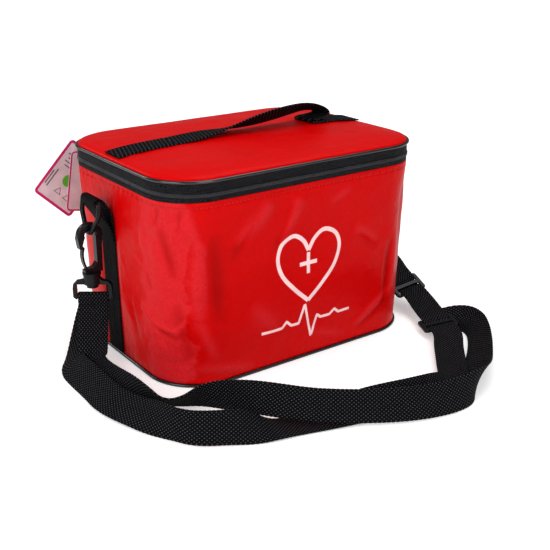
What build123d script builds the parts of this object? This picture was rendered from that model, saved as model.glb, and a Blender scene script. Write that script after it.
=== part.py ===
from build123d import *
import math
import os

# Toy doctor case: a soft zip-round bag with a webbing grab handle, a swivel-hook
# shoulder strap and a pinned hang tag. Millimetres, +Z up, origin on the floor
# under the middle of the base, the printed front faces -Y.

# ---------------------------------------------------------------- case body
lid_width = 250.6            # outline of the lid and of the zip tapes
lid_depth = 186.6
lid_corner = 39.5
base_width = 249.0           # outline where the walls meet the base
base_depth = 180.0
base_corner = 43.5
skin = 1.0                   # coated nylon
foam = 3.2                   # padding behind it
lining = 0.6
piping_radius = 1.3
piping_proud = 0.3           # bead centre outside the seam
dome = ((0, 0), (0.9, 1.7), (4.5, 3.4), (13, 4.9), (30, 6.3), (56, 7.2))  # inset, rise
base_board = 2.0

# ---------------------------------------------------------------------- zip
zip_height = 158.6           # parting line of the zip
lid_band_rise = 10.2
rim_height = zip_height + lid_band_rise    # seam between the lid band and the lid panel
coil_radius = 0.65
coil_gap = 0.5               # between the two coils, where the slider's web runs
tape = 1.0                   # tape thickness
lower_tape_height = 3.8
zip_opening = 70.0           # half width of the unzipped hinge stretch at the back
hinge_tape = 0.8
hinge_tape_depth = 7.5       # how far it laps on each side of the fold
hinge_fold_gap = 0.75
slider_y = 46.0              # parked at the closed end, on the right side
slider_length = 11.0
slider_height = 8.4
slider_plate = 1.2
slider_web = 0.3
slider_clearance = 0.35
pull_length = 22.0
pull_width = 6.0
pull_thick = 1.2
bail_width = 2.4

# ------------------------------------------------------------------ webbing
webbing = 25.0
webbing_thick = 1.4
hang_y = 11.5                # side hardware sits a little behind the middle
loop_reach = 13.7            # D-ring's bar, out from the wider of lid and base
loop_bar_x = max(lid_width, base_width) / 2 + loop_reach
loop_bar_z = 137.5
strip_foot = 4.0
loop_drop = 33.5             # the folded-over tail's lower end, under the bar
loop_tail = loop_bar_z - loop_drop
loop_join = loop_bar_z - 14.5              # where the strip leaves the wall
handle_y = 4.0
handle_sewn = 122.0          # where the grab handle enters the lid seam
handle_rise = 12.6           # arch over the lid's crown

# ------------------------------------------------------------ D-ring, hook
ring_wire = 2.0              # radius
ring_side_gap = 0.7          # webbing to the ring's legs
ring_drop = 26.5             # bar centre to the lower bend centre line
ring_tilt = 9.6
bight_radius = 4.5
bight_clearance = 0.25
head_radius = 10.8
hook_thick = 6.0
hook_reach = 31.5            # from the flange up to the bight centre
spine = 5.0
gate_thick = 1.6
gate_width = 4.6
gate_rise = 22.5
gate_foot = -4.4             # pivot beside the flange
gate_pivot = 3.2
gate_knuckle = 1.2
gate_clearance = 0.3
flange_radius = 7.6
flange_thick = 2.2
socket_radius = 7.0
socket_length = 8.2
post_radius = 3.1
post_clearance = 0.08
post_head = 4.8
post_head_thick = 2.6
eye_inner = 26.4             # clear width for the webbing
eye_arm = 3.0
eye_thick = 5.0
eye_bar = 3.0
eye_window = 9.8             # clear height over the bar
eye_face = -35.8             # the strap eye faces round to the front left

# ---------------------------------------------------------------- tri-glide
glide_inner = 26.0
glide_rail = 3.4
glide_slot = 5.0
glide_thick = 2.4
weave_lift = 2.3             # webbing over the outer bars

# ----------------------------------------------------------------- hang tag
tag_y = 113.2
card_thick = 0.6
card_size = (44.0, 58.0)      # width, length
leaf_size = (30.0, 55.0)
card_hole = 6.0              # down from the top edge
card_gap = 0.4
tag_hole = 2.0
tag_hole_x, tag_hole_z = -95.8, 144.9
pin_radius = 0.5


# ================================================================= helpers
def outline(width, depth, corner, z, inset=0.0):
    radius = max(corner - 0.62 * inset, 8.0)
    return Pos(0, 0, z) * RectangleRounded(width - 2 * inset, depth - 2 * inset, radius)


def lid_outline(z, inset=0.0):
    return outline(lid_width, lid_depth, lid_corner, z, inset)


tape_top = zip_height - coil_gap / 2 - 2 * coil_radius
wall_top = tape_top - lower_tape_height
band_foot = zip_height + coil_gap / 2 + 2 * coil_radius


def case_outline(z, inset=0.0):
    k = z / wall_top
    return outline(base_width + (lid_width - base_width) * k,
                   base_depth + (lid_depth - base_depth) * k,
                   base_corner + (lid_corner - base_corner) * k, z, inset)


def case_block(z0, z1, inset):
    return loft([case_outline(z0, inset), case_outline(z1, inset)], ruled=True)


def lid_block(z0, inset):
    """The lid's outer form, shrunk by inset on its sides and its crown."""
    slices = [lid_outline(z0, inset)]
    slices += [lid_outline(rim_height - inset + rise, inset + cut) for cut, rise in dome]
    return loft(slices, ruled=True)


def bead(profile, radius):
    """A round cord laid along a closed outline."""
    path = profile.face().outer_wire()
    start = Plane(origin=path @ 0, z_dir=path % 0)
    return sweep(start * Circle(radius), path=path)


def bend_radii(route, share=0.45):
    """Arc radius at each corner of a route, as large as its two runs allow."""
    points = [Vector(*p) for p in route]
    radii = []
    for a, b, c in zip(points, points[1:], points[2:]):
        turn = math.radians((b - a).get_angle(c - b))
        run = min((b - a).length, (c - b).length)
        radii.append(share * run / math.tan(turn / 2))
    return radii


def flat_strap(route, across, width=webbing, thick=webbing_thick, share=0.45):
    """Webbing along straight runs and tangent arcs; across is its width direction
    at each point of the route."""
    radii = bend_radii(route, share)
    path = FilletPolyline(*route, radius=radii)
    marks = [0.0]
    for a, b in zip(route, route[1:]):
        marks.append(marks[-1] + (Vector(*b) - Vector(*a)).length)
    marks = [m / marks[-1] for m in marks]
    stops, run = [0.0], 0.0
    for edge in path.order_edges():
        parts = 1 if edge.geom_type == GeomType.LINE else 3
        stops += [(run + edge.length * (i + 1) / parts) / path.length for i in range(parts)]
        run += edge.length
    sections = []
    for s in stops:
        s = min(max(s, 0.0), 1.0)
        i = max(j for j in range(len(marks) - 1) if marks[j] <= s + 1e-9)
        k = min((s - marks[i]) / (marks[i + 1] - marks[i]), 1.0)
        side = Vector(*across[i]).normalized() * (1 - k) + Vector(*across[i + 1]).normalized() * k
        along = path % s
        side = side - along * side.dot(along)
        sections.append(Plane(origin=path @ s, x_dir=side, z_dir=along) * Rectangle(width, thick))
    return loft(sections, ruled=True), path.length, min(radii)


def box_between(a, b):
    size = [abs(q - p) for p, q in zip(a, b)]
    middle = [(p + q) / 2 for p, q in zip(a, b)]
    return Pos(*middle) * Box(*size)


# ==================================================================== case
parts = {}
foot = 2 * piping_radius + 0.05
base_inset = piping_radius - piping_proud + 0.08
parts["outer_wall"] = case_block(foot, wall_top, 0) - case_block(foot, wall_top, skin)
parts["wall_foam"] = (case_block(foot, wall_top, skin)
                      - case_block(foot, wall_top, skin + foam))
inner = skin + foam
floor = skin + base_board
parts["inner_lining"] = (case_block(floor, wall_top, inner)
                         - case_block(floor + lining, wall_top + 1, inner + lining))
parts["base_panel"] = case_block(0, skin, base_inset)
parts["base_board"] = case_block(skin, floor, inner + 0.1)
parts["base_piping"] = bead(case_outline(piping_radius, -piping_proud), piping_radius)

# tapes and coils run all round but for the hinge stretch at the back
back_cut = box_between((-zip_opening, 0, 0), (zip_opening, lid_depth, 2 * rim_height))
lower_ring = extrude(lid_outline(wall_top) - lid_outline(wall_top, tape), lower_tape_height)
parts["lower_zip_tape"] = lower_ring
coil_line = tape / 2
parts["lower_zip_coil"] = bead(
    lid_outline(tape_top + coil_radius, coil_line), coil_radius) - back_cut
parts["upper_zip_coil"] = bead(
    lid_outline(band_foot - coil_radius, coil_line), coil_radius) - back_cut

# ===================================================================== lid
lid_skin = lid_block(band_foot, 0) - lid_block(band_foot, skin)
lid_bead = bead(lid_outline(rim_height, -piping_proud), piping_radius)
reach = lid_width
above = box_between((-reach, -reach, rim_height), (reach, reach, rim_height + reach))
below = box_between((-reach, -reach, 0), (reach, reach, rim_height))
parts["lid_piping"] = lid_bead
parts["lid_panel"] = (lid_skin & above) - lid_bead
parts["lid_band"] = (lid_skin & below) - lid_bead
lid_inside = zip_height + slider_height / 2 + slider_clearance
parts["lid_foam"] = lid_block(lid_inside, skin + 0.05) - lid_block(lid_inside, inner)
parts["lid_lining"] = lid_block(lid_inside, inner) - lid_block(lid_inside, inner + lining)

# fabric hinge across the back: two laps that meet at the fold
hinge_y = lid_depth / 2 + hinge_tape / 2 + 0.02
hinge_strip = 2 * (zip_opening - 4)
lap = Box(hinge_strip, hinge_tape, hinge_tape_depth - hinge_fold_gap)
lap_rise = (hinge_tape_depth + hinge_fold_gap) / 2
parts["hinge_tape_lower"] = Pos(0, hinge_y, zip_height - lap_rise) * lap
parts["hinge_tape_upper"] = Pos(0, hinge_y, zip_height + lap_rise) * lap

# =================================================== side strips and loops


def wall_x(z):
    return (base_width + (lid_width - base_width) * z / wall_top) / 2


stand = webbing_thick / 2 + 0.05
wrap = ring_wire + webbing_thick / 2 + 0.3
strip_route = [
    (wall_x(strip_foot) + stand, strip_foot),
    (wall_x(loop_join / 2) + stand, loop_join / 2),
    (wall_x(loop_join) + stand + 0.1, loop_join),
    (loop_bar_x - 1.4 * wrap, loop_bar_z + wrap),
    (loop_bar_x + wrap, loop_bar_z + wrap),
    (loop_bar_x + wrap, loop_bar_z - 0.8 * wrap),
    (wall_x(loop_tail + 10) + stand + webbing_thick + 0.3, loop_tail + 10),
    (wall_x(loop_tail) + stand + webbing_thick + 0.1, loop_tail),
]
for side, sign in (("left", -1), ("right", 1)):
    route = [(sign * x, hang_y, z) for x, z in strip_route]
    parts[f"{side}_side_webbing"] = flat_strap(route, [(0, 1, 0)] * len(route))[0]

# ============================================================= grab handle
sewn_lift = webbing_thick / 2 + 0.25


def lid_top(x):
    """Height of the lid panel's crown at x, on the handle's line."""
    inset = lid_width / 2 - abs(x)
    for (cut, low), (deep, high) in zip(dome, dome[1:]):
        if inset <= deep:
            return rim_height + low + (high - low) * (inset - cut) / (deep - cut)
    return rim_height + dome[-1][1]


def sewn_line(*xs):
    return [(x, handle_y, lid_top(x) + sewn_lift) for x in xs]


crown = [lid_width / 2 - cut for cut, rise in dome]     # where the dome's slope changes
handle_left = sewn_line(-handle_sewn, -crown[3], -crown[4], -crown[5] - 1)
handle_right = sewn_line(handle_sewn, crown[3], crown[4], crown[4] - 12)
for end in (handle_left, handle_right):          # over the rolled edge of the lid
    end[0] = (end[0][0], end[0][1], end[0][2] + 0.6)
sewn_top = lid_top(0) + sewn_lift
arch_start = crown[5] + 0.6
lap_end = crown[4] - 12.4
layer = webbing_thick + 0.9
handle_arch = [(-arch_start, handle_y, sewn_top),
               (-52, handle_y + 0.5, sewn_top + 0.06 * handle_rise),
               (-30, handle_y + 1, sewn_top + 0.21 * handle_rise),
               (-6, handle_y, sewn_top + 0.41 * handle_rise),
               (18, handle_y - 1, sewn_top + 0.65 * handle_rise),
               (42, handle_y - 2, sewn_top + 0.9 * handle_rise),
               (62, handle_y - 1, sewn_top + handle_rise),
               (79, handle_y + 1, sewn_top + 0.84 * handle_rise),
               (88, handle_y + 1, sewn_top + 0.57 * handle_rise),
               (87.5, handle_y + 1, sewn_top + 0.32 * handle_rise),
               (78, handle_y + 1, sewn_top + layer + 0.2), (70, handle_y + 0.5, sewn_top + layer),
               (67, handle_y, sewn_top + layer / 2 + 0.2), (70.5, handle_y, sewn_top + 0.1),
               (lap_end, handle_y, lid_top(lap_end) + sewn_lift)]
arch_across = [(0, 1, 0), (0, 1, 0.02), (0, 1, -0.08), (0, 0.9, -0.4), (0, 0.8, -0.58),
               (0, 0.8, -0.6), (0, 0.85, -0.5), (0, 1, -0.3), (0, 1, -0.14),
               (0, 1, -0.05)] + [(0, 1, 0)] * 5
parts["handle_end_left"] = flat_strap(handle_left, [(0, 1, 0)] * 4)[0]
parts["handle_end_right"] = flat_strap(handle_right, [(0, 1, 0)] * 4)[0]
parts["handle_arch"] = flat_strap(handle_arch, arch_across)[0]

# =============================================== zip slider and its puller
slide_x = lid_width / 2 - tape / 2
plate_gap = coil_radius + slider_clearance
plate_body = Box(slider_plate, slider_length, slider_height)
plate_body = fillet(plate_body.edges().filter_by(Axis.X), 2.2)
plate_mid = plate_gap + slider_plate / 2
bail = (Pos(2.2, 0, 0) * Box(4.4, 6.4, bail_width)) - (Pos(1.5, 0, 0) * Box(3.0, 3.4, 6))
bail = fillet(bail.edges().filter_by(Axis.Z).sort_by(Axis.X)[-2:], 1.6)
slider = (Pos(plate_mid, 0, 0) * plate_body + Pos(-plate_mid, 0, 0) * plate_body
          + Box(2 * plate_gap + 0.2, slider_length * 0.6, slider_web)
          + Pos(plate_mid + slider_plate / 2, 0, 0) * bail)
parts["zip_slider"] = Pos(slide_x, slider_y, zip_height) * slider
bail_x = plate_mid + slider_plate / 2 + 1.5
pull_pivot = (slide_x + bail_x, slider_y, zip_height)
crossbar = 1.6
tab = Pos(0, (crossbar - pull_length) / 2, 0) * Box(pull_thick, pull_length, pull_width)
tab = fillet(tab.edges().filter_by(Axis.X).sort_by(Axis.Y)[:2], 2.4)
tab -= Pos(0, -pull_length + 5, 0) * Rot(0, 90, 0) * Cylinder(1.3, 6)
tab -= Pos(0, -crossbar / 2 - 2.1, 0) * Box(6, 4.2, bail_width + 0.7)
parts["zip_pull"] = Pos(*pull_pivot) * tab

# ============================================================ swivel hooks
ring_half = webbing / 2 + ring_wire + ring_side_gap
ring_waist = ring_drop * 0.42
ring_path = FilletPolyline(
    (0, -ring_half, 0), (0, ring_half, 0), (0, ring_half, -ring_waist), (0, 3.6, -ring_drop),
    (0, -3.6, -ring_drop), (0, -ring_half, -ring_waist), radius=[2.4, 2.4, 9, 5, 5, 9], close=True)
ring_start = Plane(origin=ring_path @ 0, z_dir=ring_path % 0)
d_ring = sweep(ring_start * Circle(ring_wire), path=ring_path)

bend_x = loop_bar_x + ring_drop * math.sin(math.radians(ring_tilt))
bend_z = loop_bar_z - ring_drop * math.cos(math.radians(ring_tilt))
bight_z = bend_z + ring_wire + bight_clearance - bight_radius
flange_top = bight_z - hook_reach            # where hook body and swivel flange meet


def hook_body():
    """Snap hook in the XZ plane, spine on the +X side, z = 0 at the flange top."""
    up = hook_reach
    spine_in, spine_out = bight_radius, bight_radius + spine
    tip_in, tip_out = -bight_radius - 2.4, -head_radius
    mid = (head_radius + bight_radius) / 2
    rim = Plane.XZ * Pos(mid, 0) * RectangleRounded(head_radius - bight_radius, hook_thick, 1.6)
    head = Pos(0, up, 0) * revolve(rim, Axis.Z, 180)
    trunk = make_face(Polyline((spine_in, up), (head_radius, up), (spine_out, up - 9),
                               (spine_out - 0.6, 0), (gate_foot - 2.2, 0), (gate_foot - 2.2, 3.0),
                               (spine_in - 2.6, 4.4), (spine_in, 8), (spine_in, up)))
    trunk -= Pos(gate_foot, gate_pivot) * Circle(gate_knuckle + gate_clearance)
    beak = make_face(Polyline((-bight_radius, up), (tip_in, up - 6.5), (tip_in - 0.4, up - 10.5),
                              (tip_out + 1.2, up - 10.0), (tip_out, up - 2), (-head_radius, up),
                              (-bight_radius, up)))
    plate = head + extrude(trunk + beak, hook_thick / 2, both=True)
    body = Rot(90, 0, 0) * plate
    body += Pos(0, 0, -flange_thick / 2) * Cylinder(flange_radius, flange_thick)
    shank = socket_length + post_clearance * 2 + flange_thick
    body += Pos(0, 0, -shank / 2) * Cylinder(post_radius, shank)
    body += Pos(0, 0, -shank - post_head_thick / 2) * Cylinder(post_head, post_head_thick)
    return body


def hook_gate():
    """Sprung leaf that closes the mouth, pivoting beside the flange."""
    line = [(gate_foot, 0, gate_pivot), (gate_foot - 2.2, 0, gate_pivot + 6),
            (gate_foot - 3.0, 0, gate_pivot + 13), (gate_foot - 1.6, 0, gate_rise)]
    leaf = flat_strap(line, [(0, 1, 0)] * 4, gate_width, gate_thick)[0]
    knuckle = Pos(gate_foot, 0, gate_pivot) * Rot(90, 0, 0) * Cylinder(gate_knuckle, gate_width)
    return leaf + knuckle


def strap_eye():
    """Webbing eye under the swivel; z = 0 at the socket's top, width along X."""
    half = eye_inner / 2
    out = half + eye_arm
    drop = socket_length
    bar_top = drop + eye_window
    foot = -bar_top - eye_bar - 0.4
    shape = make_face(Polyline((-6, -1.5), (6, -1.5), (8.2, -4.6), (13.0, -5.6), (out - 0.6, -8.2),
                               (out, -12), (out, foot + 2), (out - 2.2, foot),
                               (-out + 2.2, foot), (-out, foot + 2),
                               (-out, -12), (-out + 0.6, -8.2), (-13.0, -5.6), (-8.2, -4.6),
                               (-6, -1.5)))
    window = Pos(0, -(drop + bar_top) / 2) * Rectangle(eye_inner, eye_window)
    frame = Rot(90, 0, 0) * extrude(shape - window, eye_thick / 2, both=True)
    frame = frame + Pos(0, 0, -(socket_length - 0.3) / 2) * Cylinder(socket_radius, socket_length - 0.3)
    frame -= Pos(0, 0, -socket_length / 2) * Cylinder(post_radius + post_clearance, socket_length + 8)
    low = box_between((-half, -eye_thick, foot - 1), (half, eye_thick, -bar_top))
    bar = Pos(0, 0, -bar_top - eye_bar / 2) * Rot(0, 90, 0) * Cylinder(eye_bar / 2, eye_inner + 2)
    return frame - low + bar


hook = hook_body()
gate = hook_gate()
eye = strap_eye()
socket_top = flange_top - flange_thick - post_clearance
eye_bar_z = socket_top - socket_length - eye_window - eye_bar / 2
for side, sign in (("left", -1), ("right", 1)):
    turn = 0 if sign < 0 else 180
    parts[f"{side}_d_ring"] = (Pos(sign * loop_bar_x, hang_y, loop_bar_z)
                               * Rot(0, -sign * ring_tilt, 0) * d_ring)
    at_hook = Pos(sign * bend_x, hang_y, flange_top) * Rot(0, 0, turn)
    parts[f"{side}_hook"] = at_hook * hook
    parts[f"{side}_hook_gate"] = at_hook * gate
    facing = eye_face if sign < 0 else -12.0
    parts[f"{side}_strap_eye"] = (Pos(sign * bend_x, hang_y, socket_top)
                                  * Rot(0, 0, facing) * eye)

# ========================================================== shoulder strap
# One length of webbing: a short loop through the right eye held by its own
# tri-glide, a link to the second tri-glide, and a long loop that runs along the
# floor, up through the left eye and back.
turn_radius = eye_bar / 2 + webbing_thick / 2 + 0.35


def eye_point(sign, out, drop=0.02):
    """A point beside a strap eye's bar, out along the eye's own normal."""
    facing = math.radians(eye_face if sign < 0 else -12.0)
    return (sign * bend_x + out * math.sin(facing), hang_y - out * math.cos(facing),
            eye_bar_z - drop)


def eye_across(sign):
    facing = math.radians(eye_face if sign < 0 else -12.0)
    return (math.cos(facing), math.sin(facing), 0)


def eye_turn(sign):
    """Half turn of webbing over an eye's bar."""
    facing = eye_face if sign < 0 else -12.0
    ring = Circle(turn_radius + webbing_thick / 2) - Circle(turn_radius - webbing_thick / 2)
    ring &= Pos(0, 10) * Rectangle(20, 20)
    fold = extrude(Plane.YZ * ring, webbing / 2, both=True)
    return Pos(sign * bend_x, hang_y, eye_bar_z) * Rot(0, 0, facing) * fold


parts["strap_turn_left"] = eye_turn(-1)
parts["strap_turn_right"] = eye_turn(1)

glide_size = 3 * glide_rail + 2 * glide_slot


def tri_glide():
    """Flat buckle with a middle bar, webbing direction along Y."""
    slots = Pos(0, (glide_rail + glide_slot) / 2) * Rectangle(glide_inner, glide_slot)
    plate = RectangleRounded(glide_inner + 2 * glide_rail, glide_size, 3)
    plate = plate - slots - mirror(slots, Plane.XZ)
    frame = extrude(plate, glide_thick / 2, both=True)
    rim = frame.faces().sort_by(Axis.Z)[-1].outer_wire().edges()
    return fillet(rim, 0.8)


def weave(lead, tail):
    """Webbing through a tri-glide: over the outer bars and under the middle one."""
    dip = glide_rail / 2 + 0.7
    rise = glide_rail / 2 + glide_slot - 0.8
    line = [(0, -lead, weave_lift), (0, -rise, weave_lift), (0, -dip, -weave_lift),
            (0, dip, -weave_lift), (0, rise, weave_lift), (0, tail, weave_lift)]
    return flat_strap(line, [(1, 0, 0)] * 6, share=0.2)[0]


glide_a = Plane(origin=(144, -60, 21), x_dir=(0.97, -0.12, 0.2), z_dir=(-0.16, -0.42, 0.89))
glide_b = Plane(origin=(126, -121, 8.4), x_dir=(0.91, -0.38, 0.14), z_dir=(-0.14, 0.02, 0.98))
glide_lead, glide_tail = 14.0, 14.0
for name, place in (("a", glide_a), ("b", glide_b)):
    parts[f"tri_glide_{name}"] = place * tri_glide()
    parts[f"strap_weave_{name}"] = place * weave(glide_lead, glide_tail)


def glide_point(place, along, lift=weave_lift, across=0.0):
    return tuple(place.from_local_coords(Vector(across, along, lift)))


def direction(v):
    return tuple(Vector(*v).normalized())


left, right = eye_across(-1), eye_across(1)
a_side, b_side = direction(glide_a.x_dir), direction(glide_b.x_dir)
strap_routes = {
    # back layer at the left eye, then the outer ribbon; it lies down where the
    # other leg stands on it and ends at the second tri-glide
    "strap_leg_outer": (
        [eye_point(-1, -turn_radius), eye_point(-1, -turn_radius, 8),
         (-147, 20, 33), (-160, 20, 18.5), (-173.5, 10, 10.5), (-180.5, -7, 8.6), (-180, -27, 8),
         (-179, -48, 8), (-176.5, -68, 8), (-172, -88, 8), (-166.5, -108, 9.2),
         (-162.5, -126, 11.6), (-158, -141, 13.2), (-151, -153, 13.2), (-140, -161, 12.8),
         (-126, -167.5, 12.2), (-112, -171.5, 8.8), (-95, -175.5, 3.4), (-78, -178.5, 1.7),
         (-60, -184, 1.6), (-44, -190, 5.4), (-28, -195.5, 10.2), (-10, -201, 11.6),
         (10, -206, 11.6), (30, -208, 10.4), (48, -206.5, 8.0), (64, -200, 6.4),
         (75.5, -187, 6.4), (88, -173, 7.0), (100.5, -158.5, 8.0),
         glide_point(glide_b, -glide_lead - 9), glide_point(glide_b, -glide_lead)],
        [left, left, (0.8, -0.6, 0), (0.82, -0.55, 0.05), (0.9, -0.4, 0.2), (0.9, -0.15, 0.4),
         (0.88, -0.05, 0.45), (0.86, 0, 0.5), (0.84, 0.05, 0.54), (0.84, 0.18, 0.5),
         (0.78, 0.24, 0.58), (0.45, 0.15, 0.88), (0.18, 0.12, 0.97), (0.2, 0.22, 0.95),
         (0.25, 0.35, 0.9), (0.26, 0.42, 0.87), (0.3, 0.66, 0.67), (0.36, 0.93, 0.06),
         (0.38, 0.92, 0.03), (0.4, 0.91, 0.03), (0.38, 0.87, 0.3), (0.28, 0.55, 0.78),
         (0.24, 0.42, 0.87), (0.16, 0.45, 0.87), (0.02, 0.6, 0.8), (-0.25, 0.77, 0.55),
         (-0.5, 0.83, 0.2), (-0.72, 0.69, 0.02), (-0.8, 0.6, 0.0), (-0.84, 0.55, -0.02),
         tuple(-c for c in b_side), tuple(-c for c in b_side)]),
    # front layer at the left eye, then the inner ribbon, which rolls on its edge
    # and comes to the front; its far end curls back to the second tri-glide
    "strap_leg_inner": (
        [eye_point(-1, turn_radius), eye_point(-1, turn_radius, 8), (-151, 0, 34),
         (-156, -8, 21.5), (-159.5, -20, 13.6), (-159.5, -37, 11.8), (-157.5, -58, 11.5),
         (-155, -77, 13.0), (-151.5, -94, 12.0), (-144.5, -106, 9.6), (-134, -111, 9.6),
         (-122, -115, 11.6), (-111, -124, 13.8), (-102, -138, 16.4), (-94, -153, 19.2),
         (-82, -168, 19.0), (-66, -181.5, 16.6), (-48, -194, 15.2), (-28, -206, 14.2),
         (-6, -217, 13.2), (14, -224, 12.6), (34, -228, 12.2), (53, -228, 12.2),
         (69, -221.5, 11.9), (82, -210.5, 10.3), (94, -198.5, 8.2), (105, -186, 6.6),
         (117, -172, 5.4), (128, -157, 4.2), (136, -142, 3.2), (138, -128, 2.4),
         (132, -117, 2.2), (122, -112, 2.2)],
        [left, left, (0.8, -0.6, 0), (0.75, -0.5, 0.35), (0.35, -0.1, 0.93), (0.32, 0, 0.94),
         (0.4, 0.05, 0.91), (0.2, -0.1, 0.97), (-0.15, -0.4, 0.9), (-0.4, -0.65, 0.62),
         (-0.38, -0.6, 0.68), (-0.2, -0.4, 0.88), (-0.05, -0.15, 0.98), (0.1, 0.1, 0.98),
         (0.22, 0.3, 0.92), (0.27, 0.4, 0.87), (0.27, 0.42, 0.86), (0.25, 0.42, 0.87),
         (0.22, 0.4, 0.88), (0.2, 0.42, 0.88), (0.1, 0.45, 0.88), (0.0, 0.44, 0.9),
         (0.15, 0.25, 0.93), (0.42, 0.0, 0.9), (0.6, -0.3, 0.74), (0.7, -0.45, 0.5),
         (0.76, -0.56, 0.3), (0.8, -0.55, 0.22), (0.84, -0.5, 0.14), (0.93, -0.36, 0.06),
         (0.98, 0.15, 0.0),
         (0.6, 0.8, 0.0), (0.3, 0.95, 0.0)]),
    # the link between the two tri-glides
    "strap_link": (
        [glide_point(glide_b, glide_tail), glide_point(glide_b, glide_tail + 8),
         glide_point(glide_a, -glide_lead - 6), glide_point(glide_a, -glide_lead)],
        [b_side, b_side, a_side, a_side]),
    # the doubled stretch between the first tri-glide and the right eye
    "strap_loop_upper": (
        [eye_point(1, turn_radius), eye_point(1, turn_radius, 6), (147, -1.5, 45),
         (149, -12, 41.5), (150.5, -26, 37), glide_point(glide_a, glide_tail + 7),
         glide_point(glide_a, glide_tail)],
        [right, right, (0.98, -0.2, 0), (0.98, -0.18, 0.02), (0.98, -0.15, 0.05), a_side, a_side]),
    "strap_loop_lower": (
        [eye_point(1, -turn_radius), eye_point(1, -turn_radius, 8), (145, 8, 38),
         (147, -4, 30.5), (148, -19, 27), glide_point(glide_a, glide_tail + 10, -1.8),
         glide_point(glide_a, glide_tail, -1.8)],
        [right, right, (0.98, -0.18, 0), (0.98, -0.16, 0.02), (0.98, -0.15, 0.05), a_side, a_side]),
}
for name, (route, across) in strap_routes.items():
    solid, length, tightest = flat_strap(route, across)
    parts[name] = solid
    print(f"{name}: route {length:.1f} mm, volume {solid.volume:.0f} of "
          f"{webbing * webbing_thick * length:.0f} mm3, tightest bend {tightest:.1f} mm")

# ================================================================ hang tag


def card(width, length, lean, hole_from_top):
    """Card in the XZ plane with its hole at the origin, leaning by lean degrees."""
    shape = Pos(0, hole_from_top - length / 2) * RectangleRounded(width, length, 4)
    shape -= Circle(tag_hole)
    solid = Rot(90, 0, 0) * extrude(shape, card_thick / 2, both=True)
    return Rot(0, lean, 0) * solid


tag_at = Pos(tag_hole_x, tag_y, tag_hole_z)
parts["tag_card"] = tag_at * card(*card_size, 44, card_hole)
parts["tag_leaf"] = (Pos(tag_hole_x, tag_y - card_thick - card_gap, tag_hole_z)
                     * card(*leaf_size, 10, card_hole))
corner_mid = lid_width / 2 - lid_corner
k = tag_hole_z / wall_top
wall_corner = base_corner + (lid_corner - base_corner) * k
wall_half_w = (base_width + (lid_width - base_width) * k) / 2
wall_half_d = (base_depth + (lid_depth - base_depth) * k) / 2
off = abs(tag_hole_x) - (wall_half_w - wall_corner)
pin_foot = 1.6
lean = off / wall_corner                 # the wall has begun to turn the corner here
pin_root = (wall_half_d - wall_corner + math.sqrt(wall_corner ** 2 - off ** 2)
            + pin_foot * lean + 0.1)
pin_end = tag_y + card_thick / 2 + 0.5
pin_length = pin_end - pin_root
pin = Rot(90, 0, 0) * Cylinder(pin_radius, pin_length)
pin = Pos(tag_hole_x, (pin_root + pin_end) / 2, tag_hole_z) * pin
pin += Pos(tag_hole_x, pin_end + pin_radius, tag_hole_z) * Rot(0, 90, 0) * Cylinder(0.8, 8)
pin += Pos(tag_hole_x, pin_root + 0.4, tag_hole_z) * Rot(90, 0, 0) * Cylinder(pin_foot, 0.8)
parts["tag_pin"] = pin

# ================================================================== export
os.makedirs("parts", exist_ok=True)
for name, solid in parts.items():
    solid.label = name
    export_step(solid, os.path.join("parts", name + ".step"))
print(len(parts), "sub-parts; eye bar at z", round(eye_bar_z, 2), "hook x", round(bend_x, 2),
      "hinge y", round(hinge_y, 3), "bight z", round(bight_z, 2), "flange", round(flange_top, 2))
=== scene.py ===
"""Toy doctor case: a soft zip-round bag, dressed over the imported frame."""
import math

import bmesh
import bpy
import numpy as np
from mathutils import Matrix, Vector, noise


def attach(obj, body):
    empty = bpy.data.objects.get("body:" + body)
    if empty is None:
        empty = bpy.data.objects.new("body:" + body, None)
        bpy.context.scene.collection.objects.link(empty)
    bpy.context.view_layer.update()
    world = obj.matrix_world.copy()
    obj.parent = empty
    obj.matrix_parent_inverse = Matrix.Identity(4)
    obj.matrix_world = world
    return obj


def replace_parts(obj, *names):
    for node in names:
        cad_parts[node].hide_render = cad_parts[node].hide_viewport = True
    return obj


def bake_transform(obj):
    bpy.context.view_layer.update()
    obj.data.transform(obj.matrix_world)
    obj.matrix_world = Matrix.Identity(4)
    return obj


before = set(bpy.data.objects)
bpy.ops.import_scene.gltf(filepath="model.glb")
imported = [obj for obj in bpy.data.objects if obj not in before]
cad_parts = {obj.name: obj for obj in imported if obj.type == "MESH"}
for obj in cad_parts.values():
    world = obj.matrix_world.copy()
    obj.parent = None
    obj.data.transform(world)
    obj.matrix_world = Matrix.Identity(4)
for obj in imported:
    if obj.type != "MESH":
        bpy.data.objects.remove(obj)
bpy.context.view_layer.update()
MM = 0.001
scene = bpy.context.scene

# ------------------------------------------------------------------ sizes, mm
LID_W, LID_D, LID_R = 250.6, 186.6, 39.5       # the lid's outline and its corners
BASE_W, BASE_D, BASE_R = 249.0, 180.0, 43.5    # the wall's foot
RIM = 168.8                                    # seam between the lid's top and its band
BAND_FOOT = 160.15                             # lower edge of the lid's band
ZIP = 158.6                                    # middle of the zip
TAPE_TOP = 157.05                              # upper edge of the wall's zip tape
WALL_TOP = 153.25                              # upper edge of the wall's red cloth
STITCH_Z = 149.4                               # the row of stitches below it
FRONT_RUN, SIDE_RUN = 233.7, 169.7             # from corner to corner round the wall
CORNERS = (0, FRONT_RUN, FRONT_RUN + SIDE_RUN, FRONT_RUN * 2 + SIDE_RUN)
WEBBING, WEB_THICK = 25.0, 1.4
HANG_Y = 11.5                                  # depth at which rings and hooks hang
BAR_X, BAR_Z = 139.0, 137.5                    # the D-ring's straight bar
HOOK_X = 143.42
EYE_BAR_Z = 55.84                              # the strap eye's bar
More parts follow.
